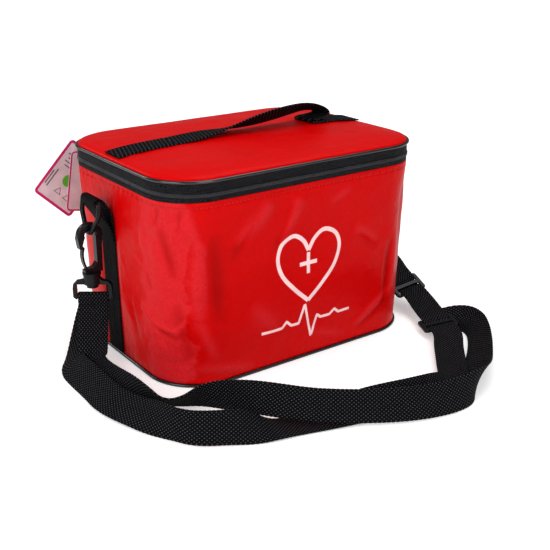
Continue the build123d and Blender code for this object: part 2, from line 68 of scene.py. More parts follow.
TURN_R = 2.55                                  # the webbing's turn round that bar
GLIDE_A = ((144, -60, 21), (0.97, -0.12, 0.2), (-0.16, -0.42, 0.89))
GLIDE_B = ((126, -121, 8.4), (0.91, -0.38, 0.14), (-0.14, 0.02, 0.98))
GLIDE_END = 14.0                               # where an adjuster's own webbing ends
WEAVE_LIFT = 2.3                               # that webbing's height over its middle bar


# ================================================================== materials
class Finish:
    """One material of the case, and short calls that add nodes to it."""

    def __init__(self, name, **principled):
        self.material = bpy.data.materials.new(name)
        self.material.use_nodes = True
        self.tree = self.material.node_tree
        self.shader = self.tree.nodes["Principled BSDF"]
        for key, value in principled.items():
            self.shader.inputs[key.replace("_", " ")].default_value = value

    def feed(self, socket, value):
        """Links a socket to another node's, or sets its value."""
        if isinstance(value, bpy.types.NodeSocket):
            self.tree.links.new(value, socket)
        else:
            socket.default_value = value

    def node(self, kind, inputs=None, **props):
        n = self.tree.nodes.new("ShaderNode" + kind)
        for k, v in props.items():
            setattr(n, k, v)
        for k, v in (inputs or {}).items():
            self.feed(n.inputs[k], v)
        return n

    def math(self, op, a, b=0.0, plus=0.0, clamp=False):
        """plus is the third number of a MULTIPLY_ADD."""
        n = self.node("Math", {0: a, 1: b, 2: plus}, operation=op, use_clamp=clamp)
        return n.outputs[0]

    def coords(self, kind="Object"):
        return self.node("TexCoord").outputs[kind]

    def noise(self, scale, detail=3.0, rough=0.5):
        n = self.node("TexNoise", {"Vector": self.coords(), "Scale": scale,
                                   "Detail": detail, "Roughness": rough})
        return n.outputs["Fac"]

    def mix(self, fac, a, b):
        n = self.node("Mix", data_type="RGBA")
        for k, v in ((0, fac), (6, a), (7, b)):
            self.feed(n.inputs[k], (*v, 1) if isinstance(v, tuple) else v)
        return n.outputs[2]

    def bump(self, height, strength, distance, normal=None):
        ins = {"Height": height, "Strength": strength, "Distance": distance}
        if normal is not None:
            ins["Normal"] = normal
        return self.node("Bump", ins).outputs[0]

    def set(self, name, value):
        self.feed(self.shader.inputs[name], value)

    def uv(self):
        n = self.node("SeparateXYZ", {0: self.coords("UV")})
        return n.outputs[0], n.outputs[1]

    def wave(self, x, period):
        return self.math("COSINE", self.math("MULTIPLY", x, 2 * math.pi / period))


YARN = 0.0011                        # pitch of the red cloth's weave, m
PICK, END = 0.00275, 0.0034          # pitch of the webbing's crossings, across and along
TWILL = 0.0022                       # pitch of the zip tape's ribs
DYE_LOW, DYE_HIGH = (0.62, 0.0004, 0.0007), (0.74, 0.0012, 0.0020)
# of these two tones, the first is fine random grain and the second is painted shade for the
# creases' hollows
DYE_DEEP, PAINTED_CREASE_SHADE = (0.34, 0.0002, 0.0003), (0.42, 0.0002, 0.0004)
# the pale tone of the painted sheen on the wall's corners and the creases' crests
PAINTED_SHEEN_TONE = (0.64, 0.019, 0.026)
# patches of painted sheen on the wall's corners, in metres round from its front left corner, and
# how wide
PAINTED_SHEEN_SPOTS = ((-0.014, 0.024), (0.2337, 0.010), (0.4034, 0.014), (0.6371, 0.014))
# widens every patch of painted sheen by this much, in metres
PAINTED_SHEEN_WIDEN = 0.0375


def red_nylon(name, shine, wall=False):
    """Coated taffeta in a fine plain weave. On the wall, painted sheen makes it paler and rougher
    at the corners and along the creases' crests, and painted shade makes it deeper in their
    hollows."""
    m = Finish(name, Specular_IOR_Level=shine)
    u, v = m.uv()
    weave = m.math("MULTIPLY", m.wave(u, YARN), m.wave(v, YARN))
    cloud = m.noise(22, 4)
    fine = m.noise(560, 3)
    base = m.mix(m.math("MULTIPLY", cloud, 0.8), DYE_LOW, DYE_HIGH)
    base = m.mix(m.math("MULTIPLY", fine, 0.5), base, DYE_DEEP)
    rough = m.math("MULTIPLY", m.noise(60, 3), 0.16)
    rough = m.math("ADD", rough, 0.24)
    if wall:
        # painted sheen: paler, rougher patches with ragged edges round the corners, full at the
        # front left and weaker at the other three
        ragged = m.math("ADD", m.math("MULTIPLY", m.noise(30, 5, rough=0.62), 0.055),
                        m.math("MULTIPLY", m.noise(105, 4), 0.020))
        painted_sheen = None
        for middle, half in PAINTED_SHEEN_SPOTS:
            off = m.math("ABSOLUTE", m.math("SUBTRACT", u, middle))
            near = m.math("SUBTRACT", half + PAINTED_SHEEN_WIDEN, m.math("ADD", off, ragged))
            near = m.math("MULTIPLY", near, 260.0, clamp=True)
            if painted_sheen is None:
                painted_sheen = near
            else:
                painted_sheen = m.math("MAXIMUM", painted_sheen, m.math("MULTIPLY", near, 0.4))
        # the painted sheen also follows the creases' crests, by how far they stand out
        crest = m.node("Attribute", {}, attribute_name="crest").outputs["Fac"]
        painted_sheen = m.math("MAXIMUM", painted_sheen, m.math("MULTIPLY", crest, 0.8, clamp=True))
        grain = m.math("MULTIPLY", m.math("SUBTRACT", m.noise(480, 2), 0.28), 2.2, clamp=True)
        painted_sheen = m.math("MULTIPLY", painted_sheen, m.math("ADD", m.math("MULTIPLY", grain, 0.6), 0.4))
        # the painted sheen's pale tone is mixed into the colour here
        base = m.mix(m.math("MULTIPLY", painted_sheen, 0.9), base, PAINTED_SHEEN_TONE)
        # painted shade darkens the creases' hollows, by how far they sink
        crease_shade = m.math("MULTIPLY", crest, -0.6, clamp=True)
        base = m.mix(crease_shade, base, PAINTED_CREASE_SHADE)
        rough = m.math("ADD", rough, m.math("MULTIPLY", painted_sheen, 0.12))
    m.set("Base Color", base)
    m.set("Roughness", rough)
    b = m.bump(weave, 0.10, 0.0002)
    b = m.bump(m.noise(150, 4), 0.4 if wall else 0.25, 0.0008, b)
    b = m.bump(m.noise(34, 3), 0.5 if wall else 0.28, 0.004, b)
    m.set("Normal", b)
    return m.material


def woven_webbing(name, light=1.0, lean=0.0):
    """Basket-weave polypropylene: black, with painted glints on its staggered crossings. light is
    how bright the painted glints are, and lean slants them."""
    m = Finish(name, Roughness=0.6, Specular_IOR_Level=0.05)
    u, v = m.uv()
    if lean:
        v = m.math("ADD", v, m.math("MULTIPLY", u, lean))
    lattice = m.math("MULTIPLY", m.wave(u, PICK), m.wave(v, END))
    glint_dots = m.math("MULTIPLY", m.math("SUBTRACT", lattice, 0.42), 2.4, clamp=True)
    cord = m.math("ABSOLUTE", m.wave(u, PICK))
    grain = m.noise(900, 2)
    glint_dots = m.math("MULTIPLY", glint_dots, m.math("MULTIPLY_ADD", grain, 1.2, plus=0.1))
    # the painted glints lighten the webbing's black base colour
    m.set("Base Color", m.mix(glint_dots, (0.0022, 0.0022, 0.0032),
                              (0.092 * light, 0.092 * light, 0.10 * light)))
    m.set("Roughness", m.mix(glint_dots, (0.75, 0.75, 0.75), (0.42, 0.42, 0.42)))
    b = m.bump(lattice, 0.85, 0.0006)
    b = m.bump(cord, 0.25, 0.0003, b)
    b = m.bump(m.noise(1600, 2), 0.2, 0.0002, b)
    m.set("Normal", b)
    return m.material


def twill_tape():
    """Zip tape: tight slanting twill, with painted glints as pale flecks along its ribs."""
    m = Finish("black_tape", Roughness=0.5, Specular_IOR_Level=0.05)
    u, v = m.uv()
    rib = m.wave(m.math("ADD", u, v), TWILL)
    glint_fleck = m.math("MULTIPLY", m.noise(620, 3, rough=0.7),
                   m.math("MULTIPLY_ADD", rib, 1.2, plus=0.6))
    glint_fleck = m.math("MULTIPLY", m.math("SUBTRACT", glint_fleck, 0.62), 4.0, clamp=True)
    # the painted glints lighten the tape's black
    m.set("Base Color", m.mix(glint_fleck, (0.0006, 0.0006, 0.0012), (0.048, 0.048, 0.053)))
    b = m.bump(rib, 0.5, 0.0004)
    m.set("Normal", m.bump(m.noise(260, 3), 0.35, 0.0008, b))
    return m.material


def plain_finish(name, tone, rough, bump=0.1, scale=500, shine=0.5):
    """Moulded plastic, enamel, thread, card or print: clouded tone and gloss, fine grain."""
    m = Finish(name, Roughness=rough, Specular_IOR_Level=shine)
    lift = tuple(c * 1.7 + 0.004 for c in tone)
    m.set("Base Color", m.mix(m.noise(90, 3), tone, lift))
    m.set("Roughness", m.math("MULTIPLY_ADD", m.noise(140, 3), 0.16, plus=rough - 0.08))
    m.set("Normal", m.bump(m.noise(scale, 3), bump, 0.0003))
    return m.material


def cell_foam():
    m = Finish("white_foam", Roughness=0.9)
    cells = m.node("TexVoronoi", {"Vector": m.coords(), "Scale": 900.0}).outputs["Distance"]
    m.set("Base Color", m.mix(cells, (0.82, 0.82, 0.79), (0.92, 0.92, 0.90)))
    m.set("Normal", m.bump(cells, 0.4, 0.0004))
    return m.material


def silver_cloth():
    """The cool bag's lining: a soft metal sheen over loose wrinkles."""
    m = Finish("silver_lining", Roughness=0.38, Metallic=0.35)
    cloud = m.noise(45, 4)
    m.set("Base Color", m.mix(cloud, (0.52, 0.53, 0.55), (0.70, 0.71, 0.73)))
    fine = m.bump(m.noise(600, 2), 0.15, 0.0003)
    m.set("Normal", m.bump(m.noise(38, 4), 0.5, 0.003, fine))
    return m.material


def clear_plastic():
    m = Finish("clear_pin", Roughness=0.3, Transmission_Weight=0.6, IOR=1.45)
    m.set("Base Color", m.mix(m.noise(200, 2), (0.80, 0.80, 0.80), (0.92, 0.92, 0.92)))
    return m.material


RED = red_nylon("red_nylon", 0.035)
WALL_RED = red_nylon("red_nylon_wall", 0.06, wall=True)
WEB = woven_webbing("black_webbing")
# the side strips' webbing, its painted glints dimmed to a quarter as painted shade
SHADED_SIDE_WEB = woven_webbing("side_webbing", light=0.25)
GRIP_WEB = woven_webbing("grip_webbing", lean=0.9)
TAPE, FOAM, LINING, PIN = twill_tape(), cell_foam(), silver_cloth(), clear_plastic()
PIPING = plain_finish("black_piping", (0.001, 0.001, 0.002), 0.22, 0.06, 300, 0.9)
ACETAL = plain_finish("black_acetal", (0.002, 0.002, 0.003), 0.25, 0.10, 700, 0.20)
ENAMEL = plain_finish("black_enamel", (0.006, 0.006, 0.007), 0.18, 0.05, 400, 0.5)
COIL = plain_finish("zip_coil", (0.055, 0.055, 0.062), 0.30, 0.08, 900, 0.6)
THREAD = plain_finish("red_thread", (0.42, 0.002, 0.004), 0.55, 0.3, 1500)
PRINT = plain_finish("white_print", (0.74, 0.50, 0.50), 0.42, 0.15, 800, 0.2)
BOARD = plain_finish("grey_board", (0.40, 0.40, 0.39), 0.7, 0.2, 300)
CARD = plain_finish("printed_card", (0.50, 0.43, 0.45), 0.35, 0.05, 300, 0.3)
CRIMSON = plain_finish("card_border", (0.42, 0.010, 0.110), 0.35, 0.05, 300)
GREEN = plain_finish("card_green", (0.07, 0.36, 0.03), 0.35, 0.05, 300)
INK = plain_finish("card_ink", (0.09, 0.08, 0.09), 0.45, 0.05, 300)


# ============================================================== cloth and beads
def cut_piece(name, verts, faces, body, material, uvs):
    """A smooth piece from points in millimetres; uvs is one (u, v) in millimetres for each
    corner of a face."""
    mesh = bpy.data.meshes.new(name)
    mesh.from_pydata((np.asarray(verts, float) * MM).tolist(), [], faces)
    layer = mesh.uv_layers.new(name="UVMap")
    layer.data.foreach_set("uv", (np.asarray(uvs, float) * MM).ravel())
    mesh.polygons.foreach_set("use_smooth", [True] * len(mesh.polygons))
    mesh.materials.append(material)
    mesh.update()
    obj = bpy.data.objects.new(name, mesh)
    scene.collection.objects.link(obj)
    if body:                          # a piece that stretches between two bodies is left unattached
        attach(obj, body)
    return obj


def turn_outwards(piece):
    """Turns a closed piece's faces round where they point inwards."""
    bm = bmesh.new()
    bm.from_mesh(piece.data)
    if bm.calc_volume(signed=True) < 0:
        piece.data.flip_normals()
    bm.free()
    return piece


def finish_piece(name, body, material):
    """Names and dresses the piece that is being modelled, and puts its place in its mesh."""
    bpy.ops.object.transform_apply(location=True, rotation=True, scale=True)
    piece = bpy.context.object
    piece.name = piece.data.name = name
    piece.data.materials.append(material)
    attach(piece, body)
    return piece


def weave_faces(rows, cols, close_rows, close_cols):
    """Quads between rows of points, and each quad's row and column."""
    i = np.arange(rows if close_rows else rows - 1)
    j = np.arange(cols if close_cols else cols - 1)
    i, j = np.meshgrid(i, j, indexing="ij")
    i, j = i.ravel(), j.ravel()
    i2, j2 = (i + 1) % rows, (j + 1) % cols
    quads = np.stack([i2 * cols + j2, i2 * cols + j, i * cols + j, i * cols + j2], 1)
    return quads, (i, j)


def cloth(name, pts, u, v, body, material, close_rows=False, close_cols=False,
          caps=False):
    """A woven surface through rows of points. u runs along a row and v from row to row, each
    with one more value where that way is closed; caps close its two ends."""
    rows, cols = pts.shape[:2]
    quads, (i, j) = weave_faces(rows, cols, close_rows, close_cols)
    u, v = np.asarray(u, float), np.asarray(v, float)
    uu = np.stack([u[j + 1], u[j], u[j], u[j + 1]], 1)
    vv = np.stack([v[i + 1], v[i + 1], v[i], v[i]], 1)
    uvs = np.stack([uu, vv], 2).reshape(-1, 2).tolist()
    faces = quads.tolist()
    if caps:
        for row, turn in ((0, -1), (rows - 1, 1)):
            faces.append([row * cols + k for k in range(cols)][::turn])
            uvs += [[u[k % cols], v[row]] for k in range(cols)]
    return turn_outwards(cut_piece(name, pts.reshape(-1, 3), faces, body, material, uvs))


def points_for(length):
    return max(int(round(length / OUTLINE_STEP)), 2)


OUTLINE_STEP = 1.6
HALF_BACK = points_for((LID_W - 2 * LID_R) / 2)
SIDE_POINTS = points_for(LID_D - 2 * LID_R)
CORNER_POINTS = points_for(math.pi / 2 * LID_R)


def outline(width, depth, corner):
    """A rounded rectangle as points, outward normals and the run along it, from the middle of
    the back, anticlockwise from above. Every outline has as many points as the lid's, so that
    one can be joined to another."""
    hx, hy = width / 2 - corner, depth / 2 - corner
    pts, nor = [], []

    def line(a, b, count, normal):
        for k in range(count):
            f = k / count
            pts.append((a[0] + (b[0] - a[0]) * f, a[1] + (b[1] - a[1]) * f))
            nor.append(normal)

    def turn(cx, cy, start, count):
        for k in range(count):
            a = math.radians(start + 90 * k / count)
            nor.append((math.cos(a), math.sin(a)))
            pts.append((cx + corner * nor[-1][0], cy + corner * nor[-1][1]))

    line((0, depth / 2), (-hx, depth / 2), HALF_BACK, (0, 1))
    turn(-hx, hy, 90, CORNER_POINTS)
    line((-width / 2, hy), (-width / 2, -hy), SIDE_POINTS, (-1, 0))
    turn(-hx, -hy, 180, CORNER_POINTS)
    line((-hx, -depth / 2), (hx, -depth / 2), 2 * HALF_BACK, (0, -1))
    turn(hx, -hy, 270, CORNER_POINTS)
    line((width / 2, -hy), (width / 2, hy), SIDE_POINTS, (1, 0))
    turn(hx, hy, 0, CORNER_POINTS)
    line((hx, depth / 2), (0, depth / 2), HALF_BACK, (0, 1))
    pts, nor = np.array(pts), np.array(nor)
    gaps = np.linalg.norm(np.diff(np.vstack([pts, pts[:1]]), axis=0), axis=1)
    return pts, nor, np.concatenate([[0], np.cumsum(gaps)])


BEAD_SIDES = 14
REF_P, REF_N, REF_S = outline(LID_W, LID_D, LID_R)
MID_CORNER = LID_R * 0.293            # from an outline's side to the middle of its corner
FRONT_LEFT = REF_S[int(np.argmin(np.abs(REF_P[:, 0] + LID_W / 2 - MID_CORNER)
                                 + np.abs(REF_P[:, 1] + LID_D / 2 - MID_CORNER)))]


def level_ring(points, z):
    """The points (x, y) of an outline, all at one height."""
    return np.column_stack([points, np.full(len(points), z)])


def round_the_lid(name, profile, body, material, wobble):
    """A profile of (out, z) carried round the lid's outline, a little unevenly."""
    rows = []
    for out, z in profile:
        uneven = np.array([noise.noise(Vector((s / 23, z / 9, 3.1))) for s in REF_S[:-1]])
        o = np.full(len(REF_P), float(out)) + wobble * uneven
        rows.append(level_ring(REF_P + REF_N * np.reshape(o, (-1, 1)), z))
    prof = np.array(profile, float)
    steps = np.linalg.norm(np.diff(np.vstack([prof, prof[:1]]), axis=0), axis=1)
    return cloth(name, np.array(rows), REF_S, np.concatenate([[0], np.cumsum(steps)]), body,
                 material, close_rows=True, close_cols=True)


def bead_section(radius, out, z):
    return [(out + radius * math.cos(a), z + radius * math.sin(a))
            for a in np.linspace(0, 2 * math.pi, BEAD_SIDES, endpoint=False)][::-1]


def band_section(out0, out1, z0, z1, r=0.3):
    """A band's section, a box with rounded edges."""
    pts = []
    for cx, cz, a0 in ((out1 - r, z1 - r, 90), (out1 - r, z0 + r, 0), (out0 + r, z0 + r, -90),
                       (out0 + r, z1 - r, -180)):
        for a in (a0, a0 - 45, a0 - 90):
            t = math.radians(a)
            pts.append((cx + r * math.cos(t), cz + r * math.sin(t)))
    return pts


# ===================================================================== webbing
def spline_points(points):
    """Points read from the smooth spline that has these control points."""
    curve = bpy.data.curves.new("route", "CURVE")
    curve.dimensions = "3D"
    curve.resolution_u = 14
    spline = curve.splines.new("NURBS")
    spline.points.add(len(points) - 1)
    for p, co in zip(spline.points, points):
        p.co = (*[c * MM for c in co], 1)
    spline.order_u = 3
    spline.use_endpoint_u = True
    obj = bpy.data.objects.new("route", curve)
    scene.collection.objects.link(obj)
    bpy.context.view_layer.update()
    graph = bpy.context.evaluated_depsgraph_get()
    mesh = bpy.data.meshes.new_from_object(obj.evaluated_get(graph))
    out = np.array([v.co[:] for v in mesh.vertices]) / MM
    bpy.data.objects.remove(obj)
    bpy.data.meshes.remove(mesh)
    return out


def unit(a):
    return a / np.maximum(np.linalg.norm(a, axis=-1, keepdims=True), 1e-9)


FLAT_EDGE, ROUND_EDGE = 0.7, 0.25     # where the webbing's face ends and its edge turns
PICOT, PICOT_PITCH = 0.16, 3.4        # the small waves of its woven edge
WEB_STEP = 0.9                        # between its rows of points


def webbing(name, route, across, body, cup=0.0, skip=0.0, spare=0.0, material=WEB):
    """Flat webbing whose middle line is the route's spline, less skip at its start and spare
    at its end. across gives its width's direction at each point of the route, and cup is how
    far its middle stands proud. Returns the piece, its path and the whole spline's length."""
    route, across = np.array(route, float), unit(np.array(across, float))
    mid = spline_points(route)
    side = spline_points(route + across * WEBBING / 2) - mid
    length = np.concatenate([[0], np.cumsum(np.linalg.norm(np.diff(mid, axis=0), axis=1))])
    n = max(int((length[-1] - skip - spare) / WEB_STEP), 4)
    s = np.linspace(skip, length[-1] - spare, n)
    path = np.stack([np.interp(s, length, mid[:, k]) for k in range(3)], 1)
    wide = np.stack([np.interp(s, length, side[:, k]) for k in range(3)], 1)
    ahead = unit(np.gradient(path, axis=0))
    wide = unit(wide - ahead * np.sum(wide * ahead, 1, keepdims=True))
    up = np.cross(wide, ahead)
    h, b = WEBBING / 2, WEB_THICK / 2
    flat = np.linspace(-h + FLAT_EDGE, h - FLAT_EDGE, 9)
    edge = [(h - ROUND_EDGE, b * 0.75), (h, 0), (h - ROUND_EDGE, -b * 0.75)]
    section = [(a, b) for a in flat] + edge + [(a, -b) for a in flat[::-1]]
    section = np.array(section + [(-a, -c) for a, c in edge])
    outer = np.sign(section[:, 0]) * (np.abs(section[:, 0]) > h - 0.4)
    picots = PICOT * np.cos(2 * math.pi * s / PICOT_PITCH)
    a = section[:, 0][None, :] + outer[None, :] * picots[:, None]
    d = section[:, 1][None, :] + cup * (1 - (section[:, 0] / h) ** 2)[None, :]
    pts = path[:, None, :] + wide[:, None, :] * a[:, :, None] + up[:, None, :] * d[:, :, None]
    u = np.append(section[:, 0], section[0, 0]) + h
    piece = cloth(name, pts, u, s, body, material, close_cols=True, caps=True)
    return piece, path, length[-1]


# ====================================================================== camera
camera = bpy.data.objects.new("camera", bpy.data.cameras.new("camera"))
scene.collection.objects.link(camera)
scene.camera = camera
AZ, EL, FAR = math.radians(-35.82), math.radians(21.41), 0.85253
AIM_X, AIM_Z = 0.0331, 0.03775
camera.rotation_euler = (math.pi / 2 - EL, 0, AZ)
camera.location = (AIM_X + FAR * math.sin(AZ) * math.cos(EL),
                   -FAR * math.cos(AZ) * math.cos(EL), AIM_Z + FAR * math.sin(EL))
camera.data.sensor_width = 36
camera.data.lens = 60.13
camera.data.clip_start = 0.01


# ============================================================== shoulder strap
EYE_TURN = {-1: -35.8, 1: -12.0}      # how far each strap eye is turned, degrees


def eye_frame(sign):
    """An eye's bar: its middle, its direction and the way it faces; sign is -1 for the left."""
    facing = math.radians(EYE_TURN[sign])
    along = np.array([math.cos(facing), math.sin(facing), 0])
    out = np.array([math.sin(facing), -math.cos(facing), 0])
    return np.array([sign * HOOK_X, HANG_Y, EYE_BAR_Z]), along, out


def eye_point(sign, out, drop=0.02):
    centre, _, normal = eye_frame(sign)
    return tuple(centre + normal * out - np.array([0, 0, drop]))


def glide_axes(glide):
    """An adjuster's middle, its bars' direction, the strap's and the way up."""
    origin, x, z = (np.array(v, float) for v in glide)
    z = unit(z)
    x = unit(x - z * x.dot(z))
    return origin, x, np.cross(z, x), z


def glide_point(glide, along, lift=WEAVE_LIFT):
    origin, _, y, z = glide_axes(glide)
    return tuple(origin + y * along + z * lift)


LEFT, RIGHT = tuple(eye_frame(-1)[1]), tuple(eye_frame(1)[1])
SIDE_A, SIDE_B = tuple(glide_axes(GLIDE_A)[1]), tuple(glide_axes(GLIDE_B)[1])
BACK_B = tuple(-c for c in SIDE_B)

OUTER_LEG = [
    eye_point(-1, -TURN_R), eye_point(-1, -TURN_R, 8),
    (-146.5, 15.5, 34), (-154, 11, 21.5), (-163.5, 5, 13.5), (-175, -5, 9.8), (-175.5, -27, 9.4),
    (-175, -50, 9.2), (-175.5, -69, 8.4), (-172, -88, 8), (-166.5, -108, 9.2),
    (-162.5, -126, 11.6), (-158, -141, 13.2), (-151, -153, 13.2), (-140, -161, 12.8),
    (-126, -167.5, 12.2), (-112, -171.5, 8.8), (-95, -175.5, 3.4), (-78, -178.5, 1.7),
    (-60, -184, 1.6), (-44, -190, 5.4), (-28, -195.5, 10.2), (-10, -201, 11.6),
    (10, -206, 11.6), (30, -208, 10.4), (48, -206.5, 8.0), (64, -200, 6.4),
    (75.5, -187, 6.4), (88, -173, 7.0), (100.5, -158.5, 8.0),
    glide_point(GLIDE_B, -GLIDE_END - 9), glide_point(GLIDE_B, -GLIDE_END)]
OUTER_WIDE = [
    LEFT, LEFT, (0.8, -0.6, 0), (0.78, -0.58, 0.2), (0.7, -0.5, 0.5), (0.62, -0.4, 0.68),
    (0.66, -0.2, 0.72), (0.74, 0.0, 0.67), (0.82, 0.05, 0.57), (0.84, 0.18, 0.5),
    (0.78, 0.24, 0.58), (0.45, 0.15, 0.88), (0.18, 0.12, 0.97), (0.2, 0.22, 0.95),
    (0.25, 0.35, 0.9), (0.26, 0.42, 0.87), (0.3, 0.66, 0.67), (0.36, 0.93, 0.06),
    (0.38, 0.92, 0.03), (0.4, 0.91, 0.03), (0.38, 0.87, 0.3), (0.28, 0.55, 0.78),
    (0.24, 0.42, 0.87), (0.16, 0.45, 0.87), (0.02, 0.6, 0.8), (-0.25, 0.77, 0.55),
    (-0.5, 0.83, 0.2), (-0.72, 0.69, 0.02), (-0.8, 0.6, 0.0), (-0.84, 0.55, -0.02),
    BACK_B, BACK_B]
INNER_LEG = [
    eye_point(-1, TURN_R), eye_point(-1, TURN_R, 8), (-151.5, -1.5, 34),
    (-157, -10, 20.5), (-161.5, -19, 11.0), (-163, -35, 10.6), (-162, -56, 11.3),
    (-158.5, -76, 12.8), (-151.5, -94, 12.0), (-144.5, -106, 9.6), (-134, -111, 9.6),
    (-122, -115, 11.6), (-111, -124, 13.8), (-102, -138, 16.4), (-94, -153, 19.2),
    (-82, -168, 19.0), (-66, -181.5, 16.6), (-48, -194, 15.2), (-28, -206, 14.2),
    (-6, -217, 13.2), (14, -224, 12.6), (34, -228, 12.2), (53, -228, 12.2),
    (69, -221.5, 11.9), (82, -210.5, 10.3), (94, -198.5, 8.2), (107, -187, 8.4),
    (122, -174, 9.6), (136, -160, 10.6), (148, -145, 11), (153, -128, 9.6),
    (146, -113, 6), (128, -107.5, 2.8)]
INNER_WIDE = [
    LEFT, LEFT, (0.8, -0.6, 0), (0.8, -0.58, 0.1), (0.68, -0.42, 0.6), (0.45, -0.1, 0.88),
    (0.4, 0.05, 0.91), (0.2, -0.1, 0.97), (-0.15, -0.4, 0.9), (-0.4, -0.65, 0.62),
    (-0.38, -0.6, 0.68), (-0.2, -0.4, 0.88), (-0.05, -0.15, 0.98), (0.1, 0.1, 0.98),
    (0.22, 0.3, 0.92), (0.27, 0.4, 0.87), (0.27, 0.42, 0.86), (0.25, 0.42, 0.87),
    (0.22, 0.4, 0.88), (0.2, 0.42, 0.88), (0.1, 0.45, 0.88), (0.0, 0.44, 0.9),
    (0.15, 0.25, 0.93), (0.42, 0.0, 0.9), (0.6, -0.3, 0.74), (0.7, -0.45, 0.5),
    (0.7, -0.5, 0.48), (0.62, -0.45, 0.62), (0.56, -0.36, 0.72), (0.54, -0.2, 0.8),
    (0.56, 0.16, 0.76), (0.5, 0.62, 0.5), (0.3, 0.93, 0.1)]

UNDER_EYE = 6.5            # the strap hangs on from the piece round the eye's bar
TAIL = 20.0                # the stretch beside an adjuster
LINK_TAIL = 18.5           # half of the short piece between the two adjusters


def strap_tail(node, route, wide, whole, tail=TAIL):
    """The last stretch of a strap piece, beside its adjuster, as a piece of its own."""
    piece, path, _ = webbing(node + "_end_webbing", route, wide, None, skip=whole - tail)
    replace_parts(piece, node)
    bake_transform(piece)
    return piece


legs = {}
for node, route, wide in (("strap_leg_outer", OUTER_LEG, OUTER_WIDE),
                          ("strap_leg_inner", INNER_LEG, INNER_WIDE)):
    spare = TAIL if node == "strap_leg_outer" else 0
    leg, path, long = webbing(node + "_webbing", route, wide, None, skip=UNDER_EYE, spare=spare)
    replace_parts(leg, node)
    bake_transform(leg)
    legs[node] = (leg, path, long)


def strap_part(node, route, wide, body):
    """A short length of the strap that moves with one body."""
    piece, _, _ = webbing(node + "_webbing", route, wide, body)
    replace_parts(piece, node)
    return piece


def strap_loop(node, route, wide, skip):
    """From the right eye to the adjuster, with its tail a piece of its own."""
    piece, _, long = webbing(node + "_webbing", route, wide, None, skip=skip, spare=TAIL)
    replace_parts(piece, node)
    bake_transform(piece)
    return strap_tail(node, route, wide, long)


def eye_turn(side, sign):
    """The strap's turn round an eye's bar."""
    c, along, out = eye_frame(sign)
    up = np.array([0, 0, 1.0])
    r = TURN_R
    flat = [(-r, -0.3 - UNDER_EYE), (-r, -1.0), (-r, 0.75 * r), (-0.62 * r, 1.25 * r),
            (0.62 * r, 1.25 * r), (r, 0.75 * r), (r, -1.0), (r, -0.3 - UNDER_EYE)]
    route = [tuple(c + out * a + up * b) for a, b in flat]
    return strap_part(f"strap_turn_{side}", route, [tuple(along)] * 8, f"{side}_eye")


def weave(letter, glide):
    """The webbing under an adjuster's middle bar and over its outer two."""
    dip, rise = 2.4, 5.9
    line = [(-GLIDE_END, WEAVE_LIFT), (-rise, WEAVE_LIFT), (-dip, -WEAVE_LIFT),
            (dip, -WEAVE_LIFT), (rise, WEAVE_LIFT), (GLIDE_END, WEAVE_LIFT)]
    route = [glide_point(glide, a, b) for a, b in line]
    return strap_part(f"strap_weave_{letter}", route, [glide_axes(glide)[1]] * 6,
                      f"tri_glide_{letter}")


with_inner = [eye_turn("left", -1)]
LINK = [glide_point(GLIDE_B, GLIDE_END), glide_point(GLIDE_B, GLIDE_END + 8),
        glide_point(GLIDE_A, -GLIDE_END - 6), glide_point(GLIDE_A, -GLIDE_END)]
LINK_WIDE = [SIDE_B, SIDE_B, SIDE_A, SIDE_A]
link, path, long = webbing("strap_link_webbing", LINK, LINK_WIDE, None, spare=LINK_TAIL)
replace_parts(link, "strap_link")
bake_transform(link)
with_outer = [link, strap_tail("strap_link", LINK, LINK_WIDE, long, LINK_TAIL),
              strap_tail("strap_leg_outer", OUTER_LEG, OUTER_WIDE, legs["strap_leg_outer"][2])]
strap_loop("strap_loop_upper",
           [eye_point(1, TURN_R), eye_point(1, TURN_R, 6), (147, -1.5, 45), (149, -12, 41.5),
            (150.5, -26, 37), glide_point(GLIDE_A, GLIDE_END + 7), glide_point(GLIDE_A, GLIDE_END)],
           [RIGHT, RIGHT, (0.98, -0.2, 0), (0.98, -0.18, 0.02), (0.98, -0.15, 0.05),
            SIDE_A, SIDE_A], UNDER_EYE - 1.5)
strap_loop("strap_loop_lower",
           [eye_point(1, -TURN_R), eye_point(1, -TURN_R, 8), (145, 8, 38),
            (147, -4, 30.5), (148, -19, 27), glide_point(GLIDE_A, GLIDE_END + 10, -1.8),
            glide_point(GLIDE_A, GLIDE_END, -1.8)],
           [RIGHT, RIGHT, (0.98, -0.18, 0), (0.98, -0.16, 0.02), (0.98, -0.15, 0.05),
            SIDE_A, SIDE_A], UNDER_EYE)
eye_turn("right", 1)
with_outer += [weave("a", GLIDE_A), weave("b", GLIDE_B)]


# =================================================================== case body
BASE_P = outline(BASE_W, BASE_D, BASE_R)[0]
ROUND_U = REF_S - FRONT_LEFT                       # 0 at the front left corner's middle
ROUND = ROUND_U[:-1]
PERIM = REF_S[-1]

